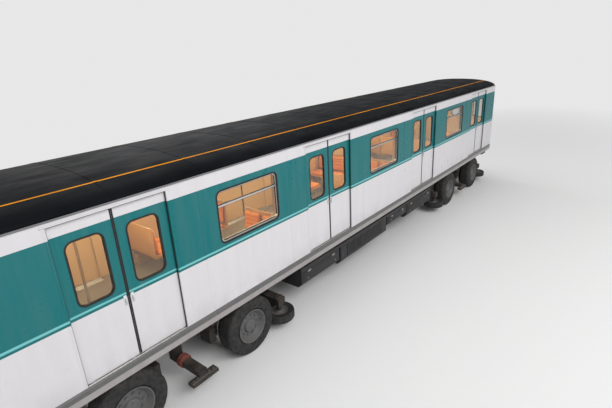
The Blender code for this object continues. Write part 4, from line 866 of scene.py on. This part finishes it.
for rib in range(footplate_ribs):
    block(metal, (-0.0025, -footplate_half, -0.0002), (0.0025, footplate_half, 0.0035), 0.001,
          at=(end_face + 0.012 + rib * footplate_pitch, 0, footplate_top))
for end, way in ends:
    dress("end_wall_" + end, end_enamel)
    for name, shape, finish in (("end_panes_", glass, window_glass), ("end_gaskets_", rubber, seal_rubber),
                                ("end_rails_", metal, rail_steel),
                                ("cable_sockets_", cable_boxes, frame_black)):
        set_down(name + end, shape, finish, "root", half_turn(way))

# The end doors let the crew through from car to car. Each is a hollow steel door with one window, turning
# inwards on pivots in its round edge, with a lever handle and a keyhole on both faces.
door_window_half, door_skin, handle_offset, handle_height, handle_length = 0.17, 0.018, 0.245, 2.13, 0.106
handle_plate_half, handle_plate_span = 0.018, (-0.13, 0.05)
grip_rise, grip_radius, spindle_radius = 0.026, 0.008, 0.009
keyhole_drop, keyhole_rise = 0.09, 0.0045
end_door_enamel = livery("end_door_enamel", "X", end_plane)
glass, rubber, metal = bmesh.new(), bmesh.new(), bmesh.new()
reach = door_window_half - glass_inset
pane(glass, (end_plane - glass_half_thickness, -reach, sill_height + glass_inset),
     (end_plane + glass_half_thickness, reach, head_height - glass_inset), window_corner - glass_inset)
reach = door_window_half + glass_inset
for face in (1, -1):
    skin, grip = end_plane + face * door_skin, face * grip_rise
    ring(rubber, (end_plane + face * gasket_back, -reach, sill_height - glass_inset),
         (skin + face * 0.0025, reach, head_height + glass_inset), gasket_width, window_corner + glass_inset,
         0.0015)
    handle = (skin, handle_offset, handle_height)
    block(metal, (-face * 0.001, -handle_plate_half, handle_plate_span[0]),
          (face * 0.003, handle_plate_half, handle_plate_span[1]), 0.0012, at=handle)
    rod(metal, (0, 0, 0), (grip + face * 0.004, 0, 0), spindle_radius, 20, 0.002, handle)
    rod(metal, (grip, 0.006, 0), (grip, 0.006 - handle_length, 0), grip_radius, 20, 0.003, handle)
    rod(metal, (0, 0, -keyhole_drop), (face * keyhole_rise, 0, -keyhole_drop), spindle_radius, 20, 0.001,
        handle)
for end, way in ends:
    body, place = "end_door_" + end, half_turn(way)
    dress(body, end_door_enamel)
    set_down("end_door_pane_" + end, glass, window_glass, body, place)
    set_down("end_door_gasket_" + end, rubber, seal_rubber, body, place)
    set_down("end_door_handle_" + end, metal, handle_chrome, body, place)

# The roof is one arched skin of aluminium, ribbed where its sheets lap. It is near-black, partly with the soot
# of the tunnels and partly as painted shade of a roof that no lamp lights from above, and an amber line along
# each haunch is a painted reflection of the lamps, patchy along its length.
roof_low, roof_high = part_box("roof")
roof_edge, roof_rise, roof_half, roof_reach = roof_low.z, roof_high.z - roof_low.z, 1.2, roof_high.x
roof_roundness, skin_inset, skin_thickness = 2.2, 0.004, 0.02
lap_count, lap_pitch, lap_half, lap_thickness, lap_lift = 13, 1.15, 0.022, 0.008, 0.0028
# The near-black is partly soot and partly painted shade, as if no lamp lit the roof from above.
soot_and_shade_black, roof_grey = (0.0035, 0.004, 0.005, 1), (0.009, 0.0105, 0.0125, 1)
# The amber line along each haunch is a painted reflection of the lamps on the roof.
reflection_line_offset, reflection_line_width, painted_reflection_amber = 0.85, 0.024, (0.90, 0.33, 0.0, 1)


def arched_strip(shape, half, thickness, start, end, lift=0.0):
    """A strip of the roof's skin between two stations, pushed out by lift and closed on its underside."""
    inset = roof_half - half - lift
    outer = oval(roof_half - inset, roof_rise - inset, roof_roundness, 0, 180, 48)
    inner = oval(roof_half - inset - thickness, roof_rise - inset - thickness, roof_roundness, 180, 0, 48)
    part = bmesh.new()
    face = part.faces.new([part.verts.new((start, across, roof_edge + up)) for across, up in outer + inner])
    made = bmesh.ops.extrude_face_region(part, geom=[face])
    moved = [item for item in made["geom"] if isinstance(item, bmesh.types.BMVert)]
    bmesh.ops.translate(part, vec=(end - start, 0, 0), verts=moved)
    merge_into(shape, part)


def evenly(number, pitch):
    """Distances from the middle of a row of things to each of them."""
    return [(step - (number - 1) / 2) * pitch for step in range(number)]


roof_paint, tree = new_finish("roof_paint", "roof_paint", Specular_IOR_Level=0.03)
soot = patches(tree, 2.5, low=0.35, stretch=(0.35, 1, 1))
across = count(tree, "ABSOLUTE", add_node(tree, "SeparateXYZ", {"Vector": position(tree)}).outputs["Y"])
line = count(tree, "LESS_THAN", count(tree, "ABSOLUTE", count(tree, "SUBTRACT", across, reflection_line_offset)),
             reflection_line_width / 2)
# The painted reflection's strength changes in patches along the roof.
reflection_strength = count(tree, "MULTIPLY", line, patches(tree, 5, 0.6, 1.0, low=0.25, high=0.6, stretch=(0.4, 1, 1)))
coat(roof_paint, blend(tree, reflection_strength, blend(tree, soot, soot_and_shade_black, roof_grey), painted_reflection_amber),
     patches(tree, 6, 0.55, 0.75, stretch=(0.3, 1, 1)), mottle(tree, 90), 0.0004)
skin, laps = bmesh.new(), bmesh.new()
arched_strip(skin, roof_half - skin_inset, skin_thickness, -roof_reach, roof_reach)
for station in evenly(lap_count, lap_pitch):
    arched_strip(laps, roof_half - skin_inset, lap_thickness, station - lap_half, station + lap_half,
                 lap_lift)
set_down("roof_skin", skin, roof_paint, replaced="roof", sharp=25)
set_down("roof_laps", laps, roof_paint, sharp=25)

# A drip gutter runs along each eave, from end to end. It is a folded aluminium angle, riveted under the edge
# of the skin and enamelled light grey, so it shows as a thin pale line between the white side and the roof.
gutter_span, gutter_base, gutter_lip, gutter_floor = (1.186, 1.2118), roof_edge + 0.0002, 0.021, 0.005


def plain_enamel(name, slot, colour):
    """Smooth enamel or laminate with faint changes of tone."""
    finish, tree = new_finish(name, slot, Specular_IOR_Level=0.4)
    return coat(finish, shade(tree, colour, patches(tree, 3, 0.92, 1.05)), patches(tree, 12, 0.3, 0.45),
                mottle(tree, 350), 0.0001)


gutter_grey = plain_enamel("gutter_enamel", "roof_paint", (0.17, 0.17, 0.175, 1))
gutters = bmesh.new()
for near, rise in ((gutter_span[0], gutter_floor), (gutter_span[1] - gutter_floor, gutter_lip)):
    block(gutters, (-roof_reach, near, gutter_base), (roof_reach, gutter_span[1], gutter_base + rise), 0.0015)
mirror_over("Y", gutters)
set_down("drip_gutters", gutters, gutter_grey)

# The ceiling is cream laminate on battens. Two aluminium rails run its whole length, and carry long lamps
# behind covers of milky plastic, each held by a clip at both ends.
lining_inset, lining_thickness = 0.036, 0.014
lamp_offset, lamp_rail_half, lamp_rail_bottom, lamp_rail_top = 0.57, 0.08, 3.196, 3.245
cover_half, cover_bottom, lamp_pitch, lamp_half, lamp_count = 0.062, 3.178, 1.55, 0.6, 9
clip_half, clip_lap, lamp_warm = 0.014, 0.005, (1.0, 0.80, 0.52, 1)
ceiling_cream = plain_enamel("ceiling_laminate", "inner_panel", (0.84, 0.73, 0.54, 1))
lamp_plastic, tree = new_finish("lamp_plastic", "inner_panel", Roughness=0.35, Emission_Strength=2.0)
warm = shade(tree, lamp_warm, patches(tree, 8, 0.92, 1.0))
coat(lamp_plastic, warm, None)
tree.links.new(warm, tree.nodes["Principled BSDF"].inputs["Emission Color"])
lining, rails, covers = bmesh.new(), bmesh.new(), bmesh.new()
arched_strip(lining, roof_half - lining_inset, lining_thickness, -roof_reach + 0.001, roof_reach - 0.001)
block(rails, (-roof_reach + 0.002, lamp_offset - lamp_rail_half, lamp_rail_bottom),
      (roof_reach - 0.002, lamp_offset + lamp_rail_half, lamp_rail_top), 0.006, 2)
top, clip_reach = lamp_rail_bottom + 0.001, cover_half + clip_lap
for middle in evenly(lamp_count, lamp_pitch):
    block(covers, (middle - lamp_half, lamp_offset - cover_half, cover_bottom),
          (middle + lamp_half, lamp_offset + cover_half, top), 0.011, 3)
    for station in (middle - lamp_half, middle + lamp_half):
        block(rails, (station - clip_half, lamp_offset - clip_reach, cover_bottom - 0.003),
              (station + clip_half, lamp_offset + clip_reach, top), 0.004, 2)
mirror_over("Y", rails, covers)
set_down("ceiling_lining", lining, ceiling_cream, sharp=25)
set_down("lamp_rails", rails, frame_metal)
set_down("lamp_covers", covers, lamp_plastic)

# The grab poles are polished steel tube. One stands at each pair of doors and is clamped to a rail that
# hangs under the ceiling, with a cast flange at the floor, a tee at the rail and a rose at the ceiling.
pole_radius, rail_level, rail_end = 0.018, 3.13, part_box("grab_poles")[1].x
ceiling_level, tee_half, tee_radius = roof_edge + roof_rise - 0.053, 0.035, 0.024
pole_steel = brushed("pole_steel", "pole_steel", (0.66, 0.66, 0.65, 1), (3, 3, 0.15), 0.18)
flange = rounded([(0.0, 0.022), (0.02, 0.022), (0.026, 0.008), (0.045, 0.006), (0.045, 0.0005),
                  (0.0, 0.0005)], 0.003)
rose = rounded([(0.0, -0.012), (0.03, -0.012), (0.042, -0.002), (0.042, 0.0), (0.0, 0.0)], 0.003)
poles = bmesh.new()
rod(poles, (-rail_end, 0, rail_level), (rail_end, 0, rail_level), pole_radius, 28, 0.006)
for centre in door_centres:
    tee = (centre, 0, rail_level)
    rod(poles, (centre, 0, floor_level + 0.0005), tee, pole_radius, 28)
    turned(poles, flange, (centre, 0, floor_level), (0, 0, 1), 32)
    rod(poles, (-tee_half, 0, 0), (tee_half, 0, 0), tee_radius, 28, 0.004, tee)
    rod(poles, (0, 0, -0.045), (0, 0, 0), tee_radius - 0.0005, 28, 0.004, tee)
    rod(poles, tee, (centre, 0, ceiling_level), 0.02, 24)
    turned(poles, rose, (centre, 0, ceiling_level), (0, 0, 1), 32)
set_down("stanchions", poles, pole_steel, replaced="grab_poles")

# The benches face each other across each bay. A moulded shell stands on a steel leg by the aisle and hangs
# from a heater duct along the side. It is tan plastic with turned edges and a grab bar on its back.
bench_wall, bench_width = 1.0897, 0.84
bench_aisle = bench_wall - bench_width
half_span, seat_depth, seat_top, back_top = 0.75, 0.45, 1.59, 2.01
shell_rise, shell_drop, shell_thickness, lip_width, lip_rise = 0.066, 0.09, 0.022, 0.014, 0.04
leg_offset, leg_middle, leg_half_length, leg_half_width = 0.09, 0.53, 0.06, 0.02
foot_half_length, foot_half_width = 0.09, 0.045
duct_reach, duct_depth, duct_height, slot_count, slot_pitch, slot_half = 0.68, 0.13, 0.2, 22, 0.058, 0.006
shell_plastic = plain_enamel("bench_shell", "inner_panel", (0.58, 0.33, 0.13, 1))
duct_enamel = plain_enamel("heater_duct", "inner_panel", (0.42, 0.31, 0.19, 1))
shells, legs, duct = bmesh.new(), bmesh.new(), bmesh.new()
front, pan_top = half_span - seat_depth, seat_top - shell_drop + 0.002
block(shells, (front, bench_aisle, seat_top - shell_drop), (half_span, bench_wall, seat_top - shell_rise),
      0.008, 3)
block(shells, (half_span - shell_thickness, bench_aisle, pan_top), (half_span, bench_wall, back_top),
      0.009, 3)
for edge in (bench_aisle, bench_wall - lip_width):
    block(shells, (front + 0.002, edge, seat_top - 0.075),
          (half_span - 0.004, edge + lip_width, seat_top - lip_rise), 0.006, 2)
rod(legs, (0, 0.012, 0), (0, 0.2, 0), 0.0085, 20, 0.003, (half_span - 0.02, bench_aisle, back_top - 0.01))
foot = Vector((leg_middle, bench_aisle + leg_offset, floor_level))
block(legs, (-leg_half_length, -leg_half_width, 0.008),
      (leg_half_length, leg_half_width, pan_top - floor_level), 0.008, 2, foot)
block(legs, (-foot_half_length, -foot_half_width, 0.0005), (foot_half_length, foot_half_width, 0.01), 0.003,
      at=foot)
bolts(legs, [foot + Vector((along, across, 0.01)) for along in (-0.072, 0.072) for across in (-0.033, 0.033)],
      (0, 0, 1), 0.007, 0.007)
block(duct, (duct_reach - 0.07, bench_wall - 0.12, floor_level + duct_height - 0.01),
      (duct_reach - 0.23, bench_wall - 0.02, pan_top), 0.006)
mirror_over("X", shells, legs, duct)
block(duct, (-duct_reach, bench_wall - duct_depth, floor_level + 0.0005),
      (duct_reach, bench_wall - 0.0003, floor_level + duct_height), 0.01, 2)
for station in evenly(slot_count, slot_pitch):
    block(duct, (-slot_half, -0.0025, 0.05), (slot_half, 0.002, 0.15), 0.001,
          at=(station, bench_wall - duct_depth, floor_level))
for tail, place in both_sides(bay_centres):
    set_down("bench_shells" + tail, shells, shell_plastic, "root", place, "benches" + tail)
    set_down("bench_legs" + tail, legs, rail_steel, "root", place)
    set_down("heater_duct" + tail, duct, duct_enamel, "root", place)

# The seat and back pads are sprung foam in woven orange cloth, two to a bench. Each is puffed between its
# seams and pulled tight round its edge, and is pressed onto studs in the shell.
pad_width, pad_inset, voxel_size, swell_steps = bench_width / 2 - 0.012, 0.014, 0.019, 20
seat_pad_low, seat_pad_high, seat_cap = (-0.192, -0.034), (0.186, 0.03), 0.014
back_pad_low, back_pad_high, back_cap = (-0.018, -0.18), (0.022, 0.18), 0.013
seat_pad_edge, seat_pad_back, seat_pad_drop = 0.02, 0.257, 0.034
back_pad_edge, back_pad_back, back_pad_lift = 0.016, 0.062, 0.205
back_lean, pad_gap = math.atan2(0.06, back_top - seat_top) * 0.55, 0.003
thread_dark, thread_light, cloth_worn = (0.70, 0.20, 0.012, 1), (0.88, 0.34, 0.03, 1), (0.85, 0.45, 0.12, 1)
orange_cloth, tree = new_finish("orange_cloth", "seat_cloth", Roughness=0.82, Sheen_Weight=0.25,
                                Sheen_Roughness=0.5)
waves = [add_node(tree, "TexWave", {"Vector": position(tree), "Scale": 55.0, "Distortion": 0.4},
                  bands_direction=way).outputs[0] for way in ("X", "Y")]
weave = count(tree, "MULTIPLY", *waves)
cloth = blend(tree, share(tree, weave, 0.1, 0.6), thread_dark, thread_light)
coat(orange_cloth, film(tree, cloth, cloth_worn, 7, 0.3, low=0.45, high=0.75), None, weave, 0.0006)


def as_shown(thing):
    """A mesh of an object as its modifiers make it."""
    return bpy.data.meshes.new_from_object(thing.evaluated_get(bpy.context.evaluated_depsgraph_get()))


def puff(low, high, edge, cap):
    """Swells a block like a stuffed pad by a short run of cloth under pressure, and returns its mesh."""
    shape = bmesh.new()
    reach = pad_width / 2 - pad_inset
    block(shape, (low[0], -reach, low[1]), (high[0], reach, high[1]), edge, 3)
    pad = add_object("pad", as_mesh("pad", shape))
    remesh = pad.modifiers.new("even_mesh", "REMESH")
    remesh.mode = "VOXEL"
    remesh.voxel_size = voxel_size
    bpy.context.view_layer.update()
    even = as_shown(pad)
    pad.modifiers.clear()
    pad.data = even
    start = [corner.co.copy() for corner in even.vertices]
    cloth = pad.modifiers.new("stuffing", "CLOTH")
    cloth.settings.use_pressure = True
    cloth.settings.uniform_pressure_force = 4
    cloth.settings.effector_weights.gravity = 0
    cloth.point_cache.frame_start = 1
    cloth.point_cache.frame_end = swell_steps
    for step in range(1, swell_steps + 1):
        bpy.context.scene.frame_set(step)
    swollen = as_shown(pad)
    pad.modifiers.clear()
    for corner, rest, moved in zip(even.vertices, start, swollen.vertices):
        shift = moved.co - rest
        corner.co = rest + shift * min(1.0, cap / max(shift.length, 0.000001))
    bpy.data.meshes.remove(swollen)
    bpy.context.scene.frame_set(1)
    smooth = pad.modifiers.new("smooth", "SUBSURF")
    smooth.levels = smooth.render_levels = 1
    bpy.context.view_layer.update()
    finished = as_shown(pad)
    bpy.data.objects.remove(pad, do_unlink=True)
    return finished


seat_place = Matrix.Translation((half_span - seat_pad_back, 0, seat_top - seat_pad_drop))
back_place = Matrix.Translation((half_span - back_pad_back, 0, seat_top + back_pad_lift))
pads = (("seat_pad_", puff(seat_pad_low, seat_pad_high, seat_pad_edge, seat_cap), seat_place),
        ("back_pad_", puff(back_pad_low, back_pad_high, back_pad_edge, back_cap),
         back_place @ Matrix.Rotation(back_lean, 4, "Y")))
for side, way in sides:
    for number, centre in enumerate(bay_centres):
        for mark, turn in (("a", -1), ("b", 1)):
            for seat in (1, 2):
                across = way * (bench_aisle + pad_gap + bench_width * (2 * seat - 1) / 4)
                bay = Matrix.Translation((centre, across, 0)) @ half_turn(turn)
                for name, mesh, place in pads:
                    copy = mesh.copy()
                    copy.transform(bay @ place @ Matrix.Rotation(math.pi, 4, "Z"))
                    copy.shade_smooth()
                    copy.materials.clear()
                    copy.materials.append(orange_cloth)
                    pad = add_object("%s%s_%d%s%d" % (name, side, number + 1, mark, seat), copy)
                    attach(pad, "root")

# The stage is a plain pale floor under soft lamps. The camera looks along the side from above, as a person
# on a footbridge over the platform's edge would.
floor_tone, backdrop_tone, floor_reach, floor_drop = 0.86, 0.80, 300, 0.0005
fade_stretch, fade_start, fade_end = (0.42, 1.0, 1.0), 3.4, 11.0
key_power, fill_power, saloon_power, room_strength = 2050, 1250, 44, 0.46
saloon_lamp_count, saloon_lamp_pitch, saloon_lamp_level, saloon_glow = 4, 3.6, 3.09, (1.0, 0.74, 0.42)
camera_place, camera_lens, sensor_width, far_clip = (-7.75, -5.438, 4.456), 25.225, 36.0, 500
floor_shape = bmesh.new()
bmesh.ops.create_grid(floor_shape, x_segments=1, y_segments=1, size=floor_reach,
                      matrix=Matrix.Translation((0, 0, -floor_drop)))
pale_floor = add_object("pale_floor", as_mesh("pale_floor", floor_shape))
floor_paint, tree = new_finish("pale_floor", None, Roughness=0.9, Specular_IOR_Level=0.1,
                               Base_Color=(floor_tone, floor_tone, floor_tone, 1))
spread = add_node(tree, "Mapping", {"Vector": position(tree), "Scale": fade_stretch}).outputs[0]
distance = add_node(tree, "VectorMath", {0: spread}, operation="LENGTH").outputs["Value"]
seen = add_node(tree, "LightPath", {}).outputs["Is Camera Ray"]
glow = add_node(tree, "Emission", {"Color": (1, 1, 1, 1), "Strength": backdrop_tone})
fade = count(tree, "MULTIPLY", share(tree, distance, fade_start, fade_end), seen)
mixed = add_node(tree, "MixShader", {0: fade, 1: tree.nodes["Principled BSDF"].outputs[0],
                                     2: glow.outputs[0]})
tree.links.new(mixed.outputs[0], tree.nodes["Material Output"].inputs["Surface"])
pale_floor.data.materials.append(floor_paint)


def soft_lamp(name, place, aim, size, power, colour=(1, 1, 1)):
    lamp = bpy.data.lights.new(name, "AREA")
    lamp.shape = "RECTANGLE"
    lamp.size, lamp.size_y = size
    lamp.energy = power
    lamp.color = colour
    holder = add_object(name, lamp)
    holder.location = place
    holder.rotation_euler = (Vector(aim) - Vector(place)).to_track_quat("-Z", "Y").to_euler()


soft_lamp("key_lamp", (-4, -14, 12), (0, 0, 1.5), (16, 8), key_power)
soft_lamp("fill_lamp", (4, 14, 11), (0, 0, 1.5), (16, 8), fill_power)
for number, station in enumerate(evenly(saloon_lamp_count, saloon_lamp_pitch)):
    soft_lamp("saloon_lamp_%d" % number, (station, 0, saloon_lamp_level), (station, 0, 1), (2.6, 0.5),
              saloon_power, saloon_glow)
world = bpy.data.worlds.new("pale_room")
bpy.context.scene.world = world
world.use_nodes = True
tree = world.node_tree
paths = add_node(tree, "LightPath", {})
shown = paths.outputs["Is Camera Ray"]
for path in ("Is Glossy Ray", "Is Transmission Ray"):
    shown = count(tree, "MAXIMUM", shown, paths.outputs[path])
back = tree.nodes["Background"]
back.inputs["Color"].default_value = (1, 1, 1, 1)
tree.links.new(share(tree, shown, 0.0, 1.0, room_strength, backdrop_tone), back.inputs["Strength"])

camera = bpy.data.cameras.new("view_camera")
camera.lens, camera.sensor_width, camera.clip_end = camera_lens, sensor_width, far_clip
viewer = add_object("view_camera", camera)
right, up = Vector((0.624, -0.780, -0.050)), Vector((0.293, 0.174, 0.940))
forward = Vector((0.725, 0.601, -0.337))
viewer.rotation_mode = "QUATERNION"
viewer.rotation_quaternion = Matrix((right, up, -forward)).transposed().to_quaternion().normalized()
viewer.location = camera_place
bpy.context.scene.camera = viewer
bpy.context.scene.view_settings.view_transform = "Standard"
